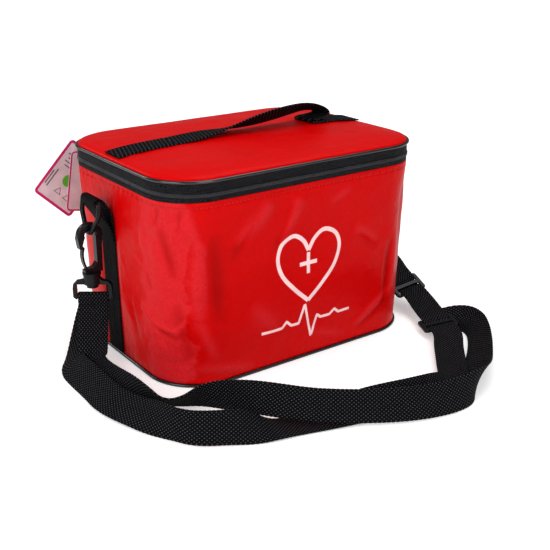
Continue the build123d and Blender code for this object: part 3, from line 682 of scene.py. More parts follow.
# creases as (s0, z0, s1, z1, half width, height); s runs round from the front left corner
CREASES = [
    (48, 115, 79, 143, 5.5, 1.5), (87, 111, 108, 142, 5.0, 1.2), (42, 104, 72, 140, 4.0, -1.0),
    (82, 104, 101, 138, 3.6, -0.9), (166, 108, 190, 90, 4.5, 1.0), (171, 100, 192, 84, 3.6, -0.8),
    (207, 26, 209, 86, 3.5, -1.5), (214, 30, 216, 92, 4.0, 1.1), (173, 17, 216, 42, 3.0, 0.9),
    (176, 12, 218, 35, 2.6, -0.7), (10, 18, 60, 8, 4.0, 0.8), (16, 120, 14, 60, 6.0, 1.3),
    (27, 126, 30, 52, 6.5, -1.4), (4, 140, 20, 112, 4.0, 0.9), (-14, 132, -4, 92, 4.0, -0.9),
    (-22, 120, -12, 70, 5.0, 0.8), (-40, 138, -30, 100, 4.0, 0.7), (-3, 70, 8, 18, 5.0, -0.8),
    (12, 60, 26, 22, 4.0, 0.7), (-30, 60, -14, 24, 4.0, 0.6), (120, 24, 160, 12, 3.6, 0.6),
    (60, 60, 84, 36, 7.0, 0.7), (138, 134, 160, 143, 3.5, 0.7), (226, 130, 232, 70, 5.0, -0.9),
    (238, 128, 244, 64, 5.0, 0.8), (262, 60, 286, 30, 5.0, 0.7), (262, 130, 280, 96, 5.0, -0.7),
    (330, 130, 350, 90, 6.0, 0.8), (360, 50, 400, 24, 6.0, -0.7), (420, 128, 440, 84, 6.0, 0.7),
    (470, 60, 500, 26, 6.0, 0.6), (520, 120, 540, 70, 6.0, -0.7), (-62, 60, -46, 24, 4.0, -0.6),
    (-39, 62, -23, 52, 2.2, 1.3), (-24, 53, -3, 46, 2.4, 1.3), (-4, 46, 5, 58, 2.4, 0.9),
    (-20, 47, -2, 41, 3.0, -0.9), (2, 13, 10, 25, 2.2, 0.8), (-46, 104, -30, 92, 2.4, 0.7),
    (-33, 96, -24, 80, 2.2, -0.6), (-6, 149, -8, 132, 1.8, 0.7), (3, 149, 1, 130, 1.8, -0.7),
    (-16, 149, -19, 134, 1.8, -0.6), (9, 149, 14, 128, 2.0, 0.6)]
CREASE_DEPTH = 1.45                                # all the creases are deepened by this
RUMPLED = -12                                      # most rumpled at the front left corner
STRIPS = (-96.3, 330.0)                            # held flat where side strips are sewn on


def wrap_gap(s, s0):
    """How far round the case s is from s0, the shorter way."""
    return (s - s0 + PERIM / 2) % PERIM - PERIM / 2


def soft_noise(s, z, scale, seed):
    """Gentle unevenness that meets itself all the way round; scale is its size in mm."""
    out = np.empty(np.broadcast(s, z).shape)
    for k, (a, b) in enumerate(zip(np.broadcast_to(s, out.shape).ravel(),
                                   np.broadcast_to(z, out.shape).ravel())):
        t = a / PERIM * 2 * math.pi
        r = PERIM / (2 * math.pi * scale)
        out.flat[k] = noise.noise(Vector((r * math.cos(t), r * math.sin(t), b / scale + seed)))
    return out


def wall_swell(s, z):
    """The slow part of the wall's form: it bellies between its four corners."""
    belly = np.sin(np.pi * np.clip(z / WALL_TOP, 0, 1)) ** 0.8
    corner = np.zeros_like(belly + s)
    for mid in CORNERS:
        corner = np.maximum(corner, np.exp(-(wrap_gap(s, mid) / 42.0) ** 2))
    return belly * (1.9 - 2.3 * corner)


def crease_height(s, z):
    """How far the creases stand out, or in."""
    d = 0.0
    for s0, z0, s1, z1, half, high in CREASES:
        a, b = wrap_gap(s, s0), z - z0
        dx, dz = s1 - s0, z1 - z0
        f = (a * dx + b * dz) / (dx * dx + dz * dz)
        g = np.clip(f, 0, 1)
        far = np.hypot(a - g * dx, b - g * dz)
        taper = np.sin(np.pi * np.clip(f * 0.92 + 0.04, 0, 1)) ** 0.6
        d = d + CREASE_DEPTH * high * np.exp(-(far / half) ** 2) * np.clip(taper, 0, 1)
    return d


def wall_relief(s, z):
    """The wall's whole form: belly, creases, rumples, and puckers at its seams."""
    d = wall_swell(s, z) + crease_height(s, z)
    d = d + 1.1 * soft_noise(s, z, 52, 3.3) + 0.6 * soft_noise(s, z, 21, 8.1)
    rumple = np.exp(-(wrap_gap(s, RUMPLED) / 30.0) ** 2)
    d = d + rumple * (1.3 * soft_noise(s, z, 13, 21.0) + 0.5 * soft_noise(s, z, 6, 27.0))
    under = np.exp(-((STITCH_Z - z) / 5.0) ** 2)
    pucker = np.cos(2 * np.pi * s / 7.7 + 1.5 * np.sin(s / 31.0)) * (0.6 + 0.4 * np.sin(s / 13.0))
    d = d + 0.32 * pucker * under - 0.55 * np.exp(-((z - STITCH_Z) / 0.9) ** 2)
    foot = np.exp(-(z - 3.0) / 4.0)
    d = d + 0.30 * np.cos(2 * np.pi * s / 9.3 + np.sin(s / 17.0)) * foot
    calm = np.clip((WALL_TOP - z) / 3.0, 0, 1) * np.clip((z - 2.4) / 3.0, 0, 1)
    for strip in STRIPS:
        calm = calm * (1 - 0.9 * np.exp(-(wrap_gap(s, strip) / 17.0) ** 6))
    return d * calm


def at_run(t, values):
    """Values of the outline's points, read at any run t along it."""
    return np.interp(t, REF_S, np.append(values, values[0]))


def wall_point(s, z, lift):
    """A point on the finished wall, s round from the front left corner."""
    s, z = np.broadcast_arrays(np.asarray(s, float), np.asarray(z, float))
    k = np.clip(z / WALL_TOP, 0, 1)
    t = (s + FRONT_LEFT) % PERIM
    p = [at_run(t, BASE_P[:, i]) * (1 - k) + at_run(t, REF_P[:, i]) * k for i in (0, 1)]
    n = [at_run(t, REF_N[:, i]) for i in (0, 1)]
    d = wall_relief(s, z) + lift
    return np.stack([p[0] + n[0] * d, p[1] + n[1] * d, z + 0 * d], -1)


def shell_rows(levels, offset, relief):
    """Rings round the case at these heights, each set out by the relief and the offset."""
    rows = []
    for z in levels:
        k = min(max(z / WALL_TOP, 0), 1)
        d = relief(ROUND, np.full(len(ROUND), z)) + offset
        rows.append(level_ring(BASE_P * (1 - k) + REF_P * k + REF_N * d[:, None], z))
    return rows


def inner_swell(s, z):
    return wall_swell(s, z) - 1.6


HEM, FOOT = 153.2, 2.7                             # upper and lower edge of the wall's mesh
levels = np.concatenate([np.linspace(FOOT, 140, 96), np.linspace(140.8, HEM, 16)])
inside = np.linspace(HEM, FOOT, 6)
rows = shell_rows(levels, 0, wall_relief) + shell_rows(inside, -0.9, inner_swell)
wall = cloth("wall_nylon", np.array(rows), ROUND_U,
             np.concatenate([levels, HEM + 1 + (HEM - inside), [400]]), "case", WALL_RED,
             close_rows=True, close_cols=True)
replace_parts(wall, "outer_wall")
# the creases' height, kept on the wall for its material, which paints sheen on their crests and
# shade in their hollows
crest = [crease_height(ROUND, np.full(len(ROUND), z)) for z in levels]
crest += [np.zeros(len(ROUND))] * len(inside)
wall.data.attributes.new("crest", "FLOAT", "POINT").data.foreach_set(
    "value", np.concatenate(crest).astype(np.float32))


def lid_ring(inset, height):
    """The lid's outline drawn in by an inset, its corners growing tighter more slowly."""
    w, d = LID_W - 2 * inset, LID_D - 2 * inset
    r = min(max(LID_R - 0.62 * inset, 8.0), w / 2 * 0.98, d / 2 * 0.98)
    return level_ring(outline(w, d, r)[0], height)


def nested(name, rows, body, material, poles):
    """Rings nested over one another, with UVs straight from above; each pole is a row whose
    ring has closed up to a line or a point, so nothing joins it to the next row."""
    pts = np.array(rows)
    quads, (i, _) = weave_faces(len(rows), pts.shape[1], True, True)
    quads = quads[~np.isin(i, [p % len(rows) for p in poles])]
    flat = pts.reshape(-1, 3)
    piece = cut_piece(name, flat, quads.tolist(), body, material, flat[quads.ravel()][:, :2])
    bm = bmesh.new()
    bm.from_mesh(piece.data)
    bmesh.ops.remove_doubles(bm, verts=bm.verts, dist=0.16 * MM)
    bm.to_mesh(piece.data)
    bm.free()
    return turn_outwards(piece)


def dome_height(inset):
    """How high the lid's top stands over its rim, this far in from its edge."""
    return float(np.interp(inset, [0, 0.9, 4.5, 13, 30, 56, 120],
                           [0, 1.7, 3.4, 4.9, 6.3, 7.2, 7.6]))


# lid panel: foam-backed nylon, rolled over at the piping and softly uneven
MIDDLE = 93.25                # an inset that draws the lid's outline in to a line
HANDLE_Y = 4.0                # the grab handle lies a little behind the lid's middle
DENTS = (-117, 117)           # where its sewn ends press the lid in
top = []
insets = [0.6, 0.5, 0.55, 0.9, 1.6, 2.8, 4.5, 6.5, 9] + list(np.arange(11.5, 92, 2.2)) + [MIDDLE]
for n, inset in enumerate(insets):
    rise = 0.5 + 0.55 * n if n < 4 else dome_height(inset) + 0.9 * math.exp(-inset / 9)
    ring = lid_ring(inset, RIM + rise)
    lumps = np.array([noise.noise(Vector((x / 46, y / 46, 2.0))) * 1.0
                      + noise.noise(Vector((x / 15, y / 15, 5.0))) * 0.28 for x, y, _ in ring])
    ring[:, 2] += lumps * min(inset / 14, 1)
    for dent in DENTS:
        ring[:, 2] -= 0.6 * np.exp(-((ring[:, 0] - dent) / 5) ** 2
                                   - ((ring[:, 1] - HANDLE_Y) / 14) ** 4)
    top.append(ring)
under = [lid_ring(i, RIM + dome_height(i) - 1.0) for i in (MIDDLE, 70, 40, 16, 6, 2.0)]
under.append(top[0])
lid_top = nested("lid_nylon", top + under, "lid", RED, poles=[len(top) - 1, -1])
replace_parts(lid_top, "lid_panel")

for name, node, body, low, high in (
        ("lid_band_cloth", "lid_band", "lid", BAND_FOOT, RIM - 0.4),
        ("lower_tape_cloth", "lower_zip_tape", "case", WALL_TOP, TAPE_TOP)):
    band = round_the_lid(name, band_section(-1.0, 0.05, low, high), body, TAPE,
                         wobble=0.12)
    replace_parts(band, node)
lid_bead = round_the_lid("lid_piping_cord", bead_section(1.35, 0.35, RIM), "lid", PIPING,
                         wobble=0.15)
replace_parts(lid_bead, "lid_piping")

# base piping: its round section is drawn along the straight runs and spun round the corners
hx, hy = (BASE_W / 2 - BASE_R) * MM, (BASE_D / 2 - BASE_R) * MM
bpy.ops.object.select_all(action="DESELECT")
bpy.ops.mesh.primitive_circle_add(
    vertices=BEAD_SIDES, radius=1.3 * MM, fill_type="NOTHING", calc_uvs=False,
    location=(0, (BASE_D / 2 + 0.3) * MM, 1.32 * MM), rotation=(0, math.pi / 2, 0))
bpy.ops.object.transform_apply(location=True, rotation=True, scale=True)
bpy.ops.object.mode_set(mode="EDIT")
bpy.ops.mesh.select_all(action="SELECT")
for run, corner in (((-hx, 0, 0), (-hx, hy, 0)), ((0, -2 * hy, 0), (-hx, -hy, 0)),
                    ((2 * hx, 0, 0), (hx, -hy, 0)), ((0, 2 * hy, 0), (hx, hy, 0))):
    bpy.ops.mesh.extrude_region_move(TRANSFORM_OT_translate={"value": run})
    bpy.ops.mesh.spin(steps=CORNER_POINTS, angle=-math.pi / 2, center=corner, axis=(0, 0, 1))
bpy.ops.mesh.extrude_region_move(TRANSFORM_OT_translate={"value": (-hx, 0, 0)})
bpy.ops.mesh.select_all(action="SELECT")
bpy.ops.mesh.remove_doubles(threshold=0.01 * MM)
bpy.ops.mesh.normals_make_consistent(inside=False)
bpy.ops.object.mode_set(mode="OBJECT")
bpy.ops.object.shade_smooth()
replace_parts(finish_piece("base_piping_cord", "case", PIPING), "base_piping")

COIL_START = 74.0             # the zip ends this far each side of the middle of the back
COIL_PITCH = 2.0
COIL_WIDE, COIL_HIGH, COIL_WIRE = 0.62, 0.46, 0.27


def coil(name, node, z, body):
    """One fine spiral of zip teeth round the opening, open across the back."""
    run = np.linspace(COIL_START, PERIM - COIL_START, 5200)
    turn = run / COIL_PITCH * 2 * math.pi
    x, y, nx, ny = (at_run(run, a) for a in (*REF_P.T, *REF_N.T))
    out = -0.05 + COIL_WIDE * np.cos(turn)
    mid = np.column_stack([x + nx * out, y + ny * out, z + COIL_HIGH * np.sin(turn)])
    t = unit(np.gradient(mid, axis=0))
    a = unit(np.cross(t, np.column_stack([nx, ny, 0 * nx])))
    b = np.cross(t, a)
    wire = [(math.cos(q) * COIL_WIRE, math.sin(q) * COIL_WIRE)
            for q in np.linspace(0, 2 * math.pi, 5)[:-1]]
    pts = np.array([mid + a * p + b * q for p, q in wire]).transpose(1, 0, 2)
    piece = cloth(name, pts, np.arange(5) * 0.4, run, body, COIL, close_cols=True,
                  caps=True)
    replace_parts(piece, node)


coil("lower_zip_teeth", "lower_zip_coil", 157.85, "case")
coil("upper_zip_teeth", "upper_zip_coil", 159.35, "lid")

# fabric hinge: one folded tape across the back, sewn to both sides
HINGE_Y, HINGE_HALF = 93.35, 66
fold = np.linspace(151.1, 166.1, 24)
span = np.linspace(HINGE_HALF, -HINGE_HALF, 60)
hinge_rows = []
for heights, stand, pinch in ((fold, 0.78, 0.30), (fold[::-1], 0.05, 0)):
    for z in heights:
        nip = pinch * math.exp(-((z - ZIP) / 1.2) ** 2)
        hinge_rows.append([(x, HINGE_Y + stand + 0.10 * noise.noise(Vector((x / 9, z / 5, 1)))
                            - nip, z) for x in span])
hinge = cloth("hinge_tape_cloth", np.array(hinge_rows).transpose(1, 0, 2),
              np.arange(len(hinge_rows) + 1) * 0.65, span, None, TAPE,
              close_cols=True, caps=True)
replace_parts(hinge, "hinge_tape_lower", "hinge_tape_upper")
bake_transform(hinge)


# padding and lining
def foam_swell(s, z):
    return np.minimum(wall_swell(s, z), wall_relief(s, z))


def lining_relief(s, z):
    return 0.5 * wall_swell(s, z) + 0.45 * soft_noise(s, z, 24, 12.5) - 0.35


def half_swell(s, z):
    return 0.5 * wall_swell(s, z)


def flat_ring(z, out):
    return shell_rows([z], out, lambda s, z: 0 * s)


FOAM_TOP = 152.6
foam_levels = np.linspace(2.9, FOAM_TOP, 40)
foam = shell_rows(foam_levels, -1.9, foam_swell) + shell_rows(foam_levels[::-1], -4.0, wall_swell)
foam_piece = cloth("wall_padding", np.array(foam), ROUND_U, np.arange(81) * 3.0, "case", FOAM,
                   close_rows=True, close_cols=True)
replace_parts(foam_piece, "wall_foam")

up = np.linspace(4.5, FOAM_TOP, 60)
rim = (flat_ring(153.3, -4.6) + flat_ring(153.35, -1.2) + flat_ring(152.9, -1.25)
       + flat_ring(152.8, -4.1))
floor_rows = []
for f in (0.0005, 0.2, 0.4, 0.6, 0.75, 0.88, 0.96, 0.995):
    p = BASE_P * f * np.array([(BASE_W - 11.5) / BASE_W, (BASE_D - 11.5) / BASE_D])
    z = [3.7 + 0.5 * abs(noise.noise(Vector((x / 22, y / 22, 9)))) for x, y in p]
    floor_rows.append(np.column_stack([p, z]))
sole = [level_ring(BASE_P * f * 0.952, 3.1) for f in (0.99, 0.5, 0.0005)]
lining = nested("case_lining", floor_rows + shell_rows(up, -4.9, lining_relief) + rim
                + shell_rows(up[::-1][1:], -4.35, half_swell) + sole, "case", LINING,
                poles=[-1])
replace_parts(lining, "inner_lining")

LID_LOW = 163.2               # the lid's inside reaches down to here
lid_foam_rows = ([lid_ring(1.3, z) for z in (LID_LOW + 0.2, 165.5, 167.6)]
                 + [lid_ring(1.3 + i, RIM + dome_height(i) - 1.6)
                    for i in (0.6, 3, 10, 30, 60, MIDDLE - 1.3)]
                 + [lid_ring(4.0 + i, RIM + dome_height(i) - 4.0)
                    for i in (MIDDLE - 4.0, 60, 30, 10, 3)]
                 + [lid_ring(4.0, z) for z in (166.0, LID_LOW + 0.2)])
foam_lid = nested("lid_padding", lid_foam_rows, "lid", FOAM, poles=[8])
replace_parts(foam_lid, "lid_foam")
lid_in = []
for i, z in [(1.15, LID_LOW + 0.15), (1.15, LID_LOW - 0.1), (4.7, LID_LOW - 0.1),
             (4.9, LID_LOW + 0.4), (4.9, 165.4), (5.2, 167.0)] + [
        (5.2 + i, RIM + dome_height(i) - 4.9) for i in (*np.arange(2, 86, 3.5), 88.05)]:
    ring = lid_ring(i, z)
    if i > 5:
        ring[:, 2] -= [0.35 + 0.5 * noise.noise(Vector((x / 20, y / 20, 4))) for x, y, _ in ring]
    lid_in.append(ring)
lid_back = [lid_ring(i, z) for i, z in ((MIDDLE, 171.6), (50, 171.3), (20, 170.0), (8, 168.0),
                                        (4.3, 166.0), (4.25, LID_LOW + 0.1))]
lid_back.append(lid_in[0])
lining_lid = nested("lid_lining_cloth", lid_in + lid_back, "lid", LINING,
                    poles=[len(lid_in) - 1, -1])
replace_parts(lining_lid, "lid_lining")

# ============================================================ sewn-on webbing
STAND, WRAP = WEB_THICK / 2 + 0.05, 3.0
ACROSS = (0, 1, 0)


def wall_x(z):
    """Half the case's width at a height."""
    return (BASE_W + (LID_W - BASE_W) * z / WALL_TOP) / 2


# up the wall, over the D-ring's bar and back down on itself
STRIP = [(wall_x(4) + STAND, 4), (wall_x(61.5) + STAND, 61.5), (wall_x(123) + STAND + 0.1, 123),
         (BAR_X - 1.4 * WRAP, BAR_Z + WRAP), (BAR_X + WRAP, BAR_Z + WRAP),
         (BAR_X + WRAP, BAR_Z - 0.8 * WRAP),
         (wall_x(114) + STAND + WEB_THICK + 0.3, 114),
         (wall_x(104) + STAND + WEB_THICK + 0.1, 104)]
for side, sign in (("left", -1), ("right", 1)):
    route = [(sign * x, HANG_Y, z) for x, z in STRIP]
    piece, _, _ = webbing(f"{side}_strip_webbing", route, [ACROSS] * 8, "case",
                          material=SHADED_SIDE_WEB)
    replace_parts(piece, f"{side}_side_webbing")


def lid_top_z(x):
    """The lid's top under the handle, which stands level over its middle."""
    return RIM + dome_height(min(LID_W / 2 - abs(x), 56))


for side, xs in (("left", (-122, -112.3, -95.3, -70.3)), ("right", (122, 112.3, 95.3, 83.3))):
    route = [(x, HANDLE_Y, lid_top_z(x) + WEB_THICK / 2 + 0.45) for x in xs]
    route[0] = (route[0][0], HANDLE_Y, route[0][2] + 0.5)
    piece, _, _ = webbing(f"handle_{side}_webbing", route, [ACROSS] * 4, "lid", material=GRIP_WEB)
    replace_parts(piece, f"handle_end_{side}")

# the free arch, folded back under itself at the right
LAID = lid_top_z(0) + WEB_THICK / 2 + 0.25         # height of webbing that lies on the lid
ARCH = [(-69.9, 4, LAID), (-52, 4.5, LAID + 0.8), (-30, 5, LAID + 2.6), (-6, 4, LAID + 5.2),
        (18, 3, LAID + 8.2), (42, 2, LAID + 11.4), (62, 3, LAID + 12.6), (79, 5, LAID + 10.6),
        (88, 5, LAID + 7.2), (87.5, 5, LAID + 4.0), (78, 5, LAID + 2.5), (70, 4.5, LAID + 2.3),
        (67, 4, LAID + 1.35), (70.5, 4, LAID + 0.1),
        (82.9, 4, lid_top_z(82.9) + WEB_THICK / 2 + 0.25)]
ARCH_WIDE = [ACROSS, (0, 1, 0.02), (0, 1, -0.08), (0, 0.9, -0.4), (0, 0.8, -0.58),
             (0, 0.8, -0.6), (0, 0.85, -0.5), (0, 1, -0.3), (0, 1, -0.14), (0, 1, -0.05),
             *[ACROSS] * 5]
arch, _, _ = webbing("handle_arch_webbing", ARCH, ARCH_WIDE, None, cup=0.25, material=GRIP_WEB)
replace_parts(arch, "handle_arch")
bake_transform(arch)

# ===================================================================== hardware
SIDE_PARTS = [f"{side}_{part}" for side in ("left", "right")
              for part in ("d_ring", "strap_eye", "hook", "hook_gate")]
for finish, nodes in ((ACETAL, SIDE_PARTS + ["tri_glide_a", "tri_glide_b"]),
                      (ENAMEL, ["zip_slider", "zip_pull"]), (RED, ["base_panel"]),
                      (BOARD, ["base_board"]), (PIN, ["tag_pin"]),
                      (CARD, ["tag_card", "tag_leaf"])):
    for node in nodes:
        bpy.data.objects[node].material_slots[0].material = finish

# ================================================================ printed front
PRINT_MIDDLE = 116.8          # the front's middle, round from its left corner
INK_STEP = 1.2


def print_lines(name, lines, width, lift):
    """Bands of ink that lie on the wall along (x, z) lines on its front."""
    verts, faces, uvs = [], [], []
    for line in lines:
        p = np.array(line, float)
        run = np.concatenate([[0], np.cumsum(np.hypot(*np.diff(p, axis=0).T))])
        q = np.linspace(0, run[-1], max(int(run[-1] / INK_STEP), 2) + 1)
        c = np.stack([np.interp(q, run, p[:, 0]), np.interp(q, run, p[:, 1])], 1)
        t = unit(np.gradient(c, axis=0))
        side = np.stack([-t[:, 1], t[:, 0]], 1)
        first, count = len(verts), len(c)
        for off in (-width / 2, -width / 6, width / 6, width / 2):
            e = c + side * off
            verts += wall_point(PRINT_MIDDLE + e[:, 0], e[:, 1], lift).tolist()
        for a in range(3):
            for k in range(count - 1):
                i = first + a * count + k
                faces.append((i, i + 1, i + count + 1, i + count))
                uvs += [(q[k], a), (q[k + 1], a), (q[k + 1], a + 1), (q[k], a + 1)]
    cut_piece(name, verts, faces, "case", PRINT, uvs)


def smooth_line(points, count=110):
    """A rounded line through given points."""
    p = np.array(points, float)
    p = np.vstack([2 * p[0] - p[1], p, 2 * p[-1] - p[-2]])
    out = []
    for k in range(1, len(p) - 2):
        a, b, c, d = p[k - 1], p[k], p[k + 1], p[k + 2]
        for f in np.linspace(0, 1, max(count // (len(p) - 3), 4), endpoint=False):
            out.append(0.5 * (2 * b + (c - a) * f + (2 * a - 5 * b + 4 * c - d) * f * f
                              + (3 * b - a - 3 * c + d) * f ** 3))
    out.append(p[-2])
    return np.array(out)


HALF_HEART = [(0, 97), (6, 106.5), (16, 112), (27.5, 107), (32, 95), (27, 80), (14.5, 66), (0, 53)]
HEART = [smooth_line([(x * side, z) for x, z in HALF_HEART]) for side in (1, -1)]
PULSE = [(-48, 34), (-27, 34), (-22, 38.5), (-17, 34), (-9, 34), (-3, 50), (5, 19), (11, 37),
         (15, 34), (25, 34), (30, 38), (35, 34), (48, 34)]
print_lines("front_print_heart", HEART, 3.6, 0.22)
print_lines("front_print_pulse", [PULSE], 2.4, 0.22)
print_lines("front_print_plus", [[(-9, 86), (9, 86)], [(0, 77), (0, 84.3)], [(0, 87.7), (0, 95)]],
            3.4, 0.24)


# ==================================================================== stitching
STITCH_GAP, STITCH_LONG, STITCH_WIDE = 3.7, 2.7, 0.55
STITCH_FLAT = 0.7             # a stitch's flat top is this much of its length
half_high = STITCH_WIDE / 4 * MM
bpy.ops.object.select_all(action="DESELECT")
bpy.ops.mesh.primitive_cube_add(size=1, calc_uvs=False, location=(0, 0, half_high), scale=(
    STITCH_LONG * STITCH_FLAT * MM, STITCH_WIDE * MM, 2 * half_high))
bpy.ops.object.transform_apply(location=True, rotation=True, scale=True)
bpy.ops.object.shade_smooth()
stitch = bpy.context.object
bpy.ops.object.mode_set(mode="EDIT")
bpy.ops.mesh.select_mode(type="VERT")
bpy.ops.mesh.select_all(action="DESELECT")
bpy.ops.object.mode_set(mode="OBJECT")
for corner in stitch.data.vertices:
    corner.select = corner.co.z < half_high
bpy.ops.object.mode_set(mode="EDIT")
bpy.ops.transform.resize(value=(1 / STITCH_FLAT, 0, 1), center_override=(0, 0, 0))
bpy.ops.mesh.remove_doubles(threshold=0.01 * MM)
bpy.ops.object.mode_set(mode="OBJECT")

# the stitch is copied along the wall's seam, each copy square to the cloth
around = np.arange(0, PERIM, STITCH_GAP)
for place, onward in zip(wall_point(around, STITCH_Z, 0.15),
                         wall_point(around + 0.4, STITCH_Z, 0.15)):
    along = unit(onward - place)
    out = unit(np.cross(along, (0, 0, 1.0)))
    turned = np.column_stack([along, np.cross(out, along), out, place * MM]).tolist()
    copied = stitch.copy()
    copied.data = stitch.data.copy()
    copied.data.transform(Matrix([*turned, [0, 0, 0, 1]]))
    scene.collection.objects.link(copied)
    copied.select_set(True)
bpy.context.view_layer.objects.active = copied
bpy.data.objects.remove(stitch)
bpy.ops.object.join()
finish_piece("wall_stitches", "case", THREAD)

# =================================================================== hang tags
PIN_X, PIN_Z = -95.8, 144.9   # both tags hang from their pin
PIN_DOWN = 6.0                # from a tag's upper edge to its hole
TAG_CORNER = 4.0
TAGS = {"tag_card": (44, 58, 44), "tag_leaf": (30, 55, 10)}    # width, length, lean in degrees
CARD_FRONT, CARD_BACK, LEAF_FRONT = 112.85, 113.55, 111.85
INK_Y = CARD_FRONT - 0.02     # printed marks lie just proud of the border


def upright(tag, u, v, y, back=False):
    """Where a mark is added on a tag that still hangs straight: u across and v up from the
    tag's middle, with the pin at the origin."""
    return {"location": (u * MM, y * MM, (v + PIN_DOWN - TAGS[tag][1] / 2) * MM),
            "rotation": (-math.pi / 2 if back else math.pi / 2, 0, 0), "calc_uvs": False}


def hang(name, tag, material):
    """Leans a mark about the pin as its tag leans, and finishes it."""
    bpy.ops.object.transform_apply(location=True, rotation=True, scale=True)
    mark = bpy.context.object
    mark.location = (PIN_X * MM, 0, PIN_Z * MM)
    mark.rotation_euler.y = math.radians(TAGS[tag][2])
    finish_piece(name, tag, material)


def tag_border(name, tag, y, wide, back=False):
    """A frame just inside a tag's edge: a plate with rounded corners, cut out by an inset."""
    edge = 0.15
    width, long, _ = TAGS[tag]
    bpy.ops.mesh.primitive_plane_add(size=1, **upright(tag, 0, 0, y, back))
    bpy.context.object.scale = ((width - 2 * edge) * MM, (long - 2 * edge) * MM, 1)
    bpy.ops.object.transform_apply(location=False, rotation=False, scale=True)
    bpy.ops.object.mode_set(mode="EDIT")
    bpy.ops.mesh.select_all(action="SELECT")
    bpy.ops.mesh.bevel(offset=(TAG_CORNER - edge) * MM, segments=6, affect="VERTICES")
    bpy.ops.mesh.select_all(action="SELECT")
    bpy.ops.mesh.inset(thickness=(wide - edge) * MM)
    bpy.ops.mesh.delete(type="ONLY_FACE")
    bpy.ops.object.mode_set(mode="OBJECT")
    hang(name, tag, CRIMSON)


def tag_rule(name, u, v, wide, high):
    bpy.ops.mesh.primitive_plane_add(size=1, **upright("tag_card", u, v, INK_Y))
    bpy.context.object.scale = (wide * MM, high * MM, 1)
    hang(name, "tag_card", INK)


def tag_triangle(name, u, v, radius):
    """An outlined triangle: its face is drawn in towards the middle and taken out."""
    bpy.ops.mesh.primitive_circle_add(vertices=3, radius=radius * MM, fill_type="NGON",
                                      **upright("tag_card", u, v, INK_Y))
    bpy.context.object.scale.y = 0.9
    bpy.ops.object.transform_apply(location=False, rotation=False, scale=True)
    middle = bpy.context.object.location.copy()
    bpy.ops.object.mode_set(mode="EDIT")
    bpy.ops.mesh.select_all(action="SELECT")
    bpy.ops.mesh.inset(thickness=0)
    bpy.ops.transform.resize(value=(0.72, 0.72, 0.72), center_override=middle)
    bpy.ops.mesh.delete(type="ONLY_FACE")
    bpy.ops.object.mode_set(mode="OBJECT")
    hang(name, "tag_card", INK)


tag_border("tag_card_border_front", "tag_card", CARD_FRONT, 2.6)
tag_border("tag_card_border_back", "tag_card", CARD_BACK, 2.6, back=True)
tag_border("tag_leaf_border_front", "tag_leaf", LEAF_FRONT, 1.6)
bpy.ops.mesh.primitive_circle_add(vertices=36, radius=5.4 * MM, fill_type="NGON",
                                  **upright("tag_card", -0.7, -3.4, INK_Y))
hang("tag_card_disc", "tag_card", GREEN)
for n, (u, v) in enumerate(((-2.8, -16.0), (8.0, -16.7))):
    tag_triangle(f"tag_card_mark_{n}", u, v, 4.6)
for n, (v, half) in enumerate(((17, 16), (13.5, 14), (10, 15), (6.5, 13))):
    tag_rule(f"tag_card_rule_{n}", 0, v, 2 * half, 1.0)
for n, (u, v, half) in enumerate(((-15.0, -9, 9), (-17.8, -10, 7))):
    tag_rule(f"tag_card_side_rule_{n}", u, v, 1.2, 2 * half)

# ====================================================================== stage
CLOTH_LIGHT, SHEEN_LIGHT = 0.46, 0.16   # what lights the piece, and what shows in its sheen

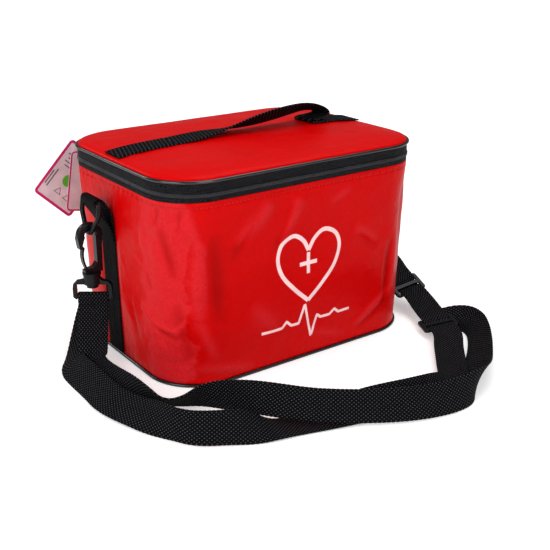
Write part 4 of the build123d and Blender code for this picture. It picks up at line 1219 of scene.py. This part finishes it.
bpy.ops.object.select_all(action="DESELECT")
bpy.ops.mesh.primitive_plane_add(size=12, location=(0, 0, 0))
floor = bpy.context.object
floor.name = "studio_floor"
ground = Finish("studio_white", Roughness=0.9)
ground.set("Base Color", ground.mix(ground.noise(3.0), (0.90, 0.90, 0.90), (0.93, 0.93, 0.93)))
glow = ground.node("Emission", {"Color": (1, 1, 1, 1)})
seen = ground.node("LightPath")
either = ground.math("MAXIMUM", seen.outputs["Is Camera Ray"], seen.outputs["Is Transmission Ray"])
away = ground.node("VectorMath", {0: ground.coords()}, operation="LENGTH").outputs["Value"]
away = ground.math("MULTIPLY", ground.math("SUBTRACT", away, 0.5), 0.6, clamp=True)
away = ground.math("ADD", away, 0.34)
ground.feed(glow.inputs["Strength"], ground.math("MULTIPLY", either, away))
both = ground.node("AddShader", {0: ground.shader.outputs[0], 1: glow.outputs[0]})
ground.feed(ground.tree.nodes["Material Output"].inputs["Surface"], both.outputs[0])
floor.data.materials.append(ground.material)

world = bpy.data.worlds.new("studio")
scene.world = world
world.use_nodes = True
wt = world.node_tree
back = wt.nodes["Background"]
rays = wt.nodes.new("ShaderNodeLightPath")
pick = wt.nodes.new("ShaderNodeMath")
pick.operation = "MAXIMUM"
wt.links.new(rays.outputs["Is Camera Ray"], pick.inputs[0])
wt.links.new(rays.outputs["Is Transmission Ray"], pick.inputs[1])
shine, level = (wt.nodes.new("ShaderNodeMix") for _ in range(2))
shine.data_type = level.data_type = "FLOAT"
shine.inputs[2].default_value = CLOTH_LIGHT
shine.inputs[3].default_value = SHEEN_LIGHT
level.inputs[3].default_value = 1.0
wt.links.new(rays.outputs["Is Glossy Ray"], shine.inputs[0])
wt.links.new(pick.outputs[0], level.inputs[0])
wt.links.new(shine.outputs[0], level.inputs[2])
wt.links.new(level.outputs[0], back.inputs["Strength"])
back.inputs["Color"].default_value = (1, 1, 1, 1)


def lamp(name, place, aim, size, power):
    data = bpy.data.lights.new(name, "AREA")
    data.shape = "RECTANGLE"
    data.size, data.size_y = size
    data.energy = power
    obj = bpy.data.objects.new(name, data)
    scene.collection.objects.link(obj)
    obj.location = place
    obj.rotation_euler = (Vector(aim) - Vector(place)).to_track_quat("-Z", "Y").to_euler()


lamp("left_softbox", (-1.1, -0.3, 0.75), (0, 0, 0.09), (0.7, 0.8), 7.0)
lamp("front_softbox", (0.0, -1.5, 1.0), (0, 0, 0.08), (0.9, 0.6), 9.6)
lamp("top_softbox", (0.4, 0.1, 1.3), (0, 0, 0.1), (0.9, 0.9), 6.6)
lamp("back_strip", (-0.55, 1.0, 0.8), (-0.1, 0, 0.17), (0.5, 0.35), 2.6)
lamp("corner_strip", (-1.02, -0.74, 0.22), (-0.1, -0.08, 0.09), (0.22, 0.36), 0.9)

scene.view_settings.view_transform = "Standard"
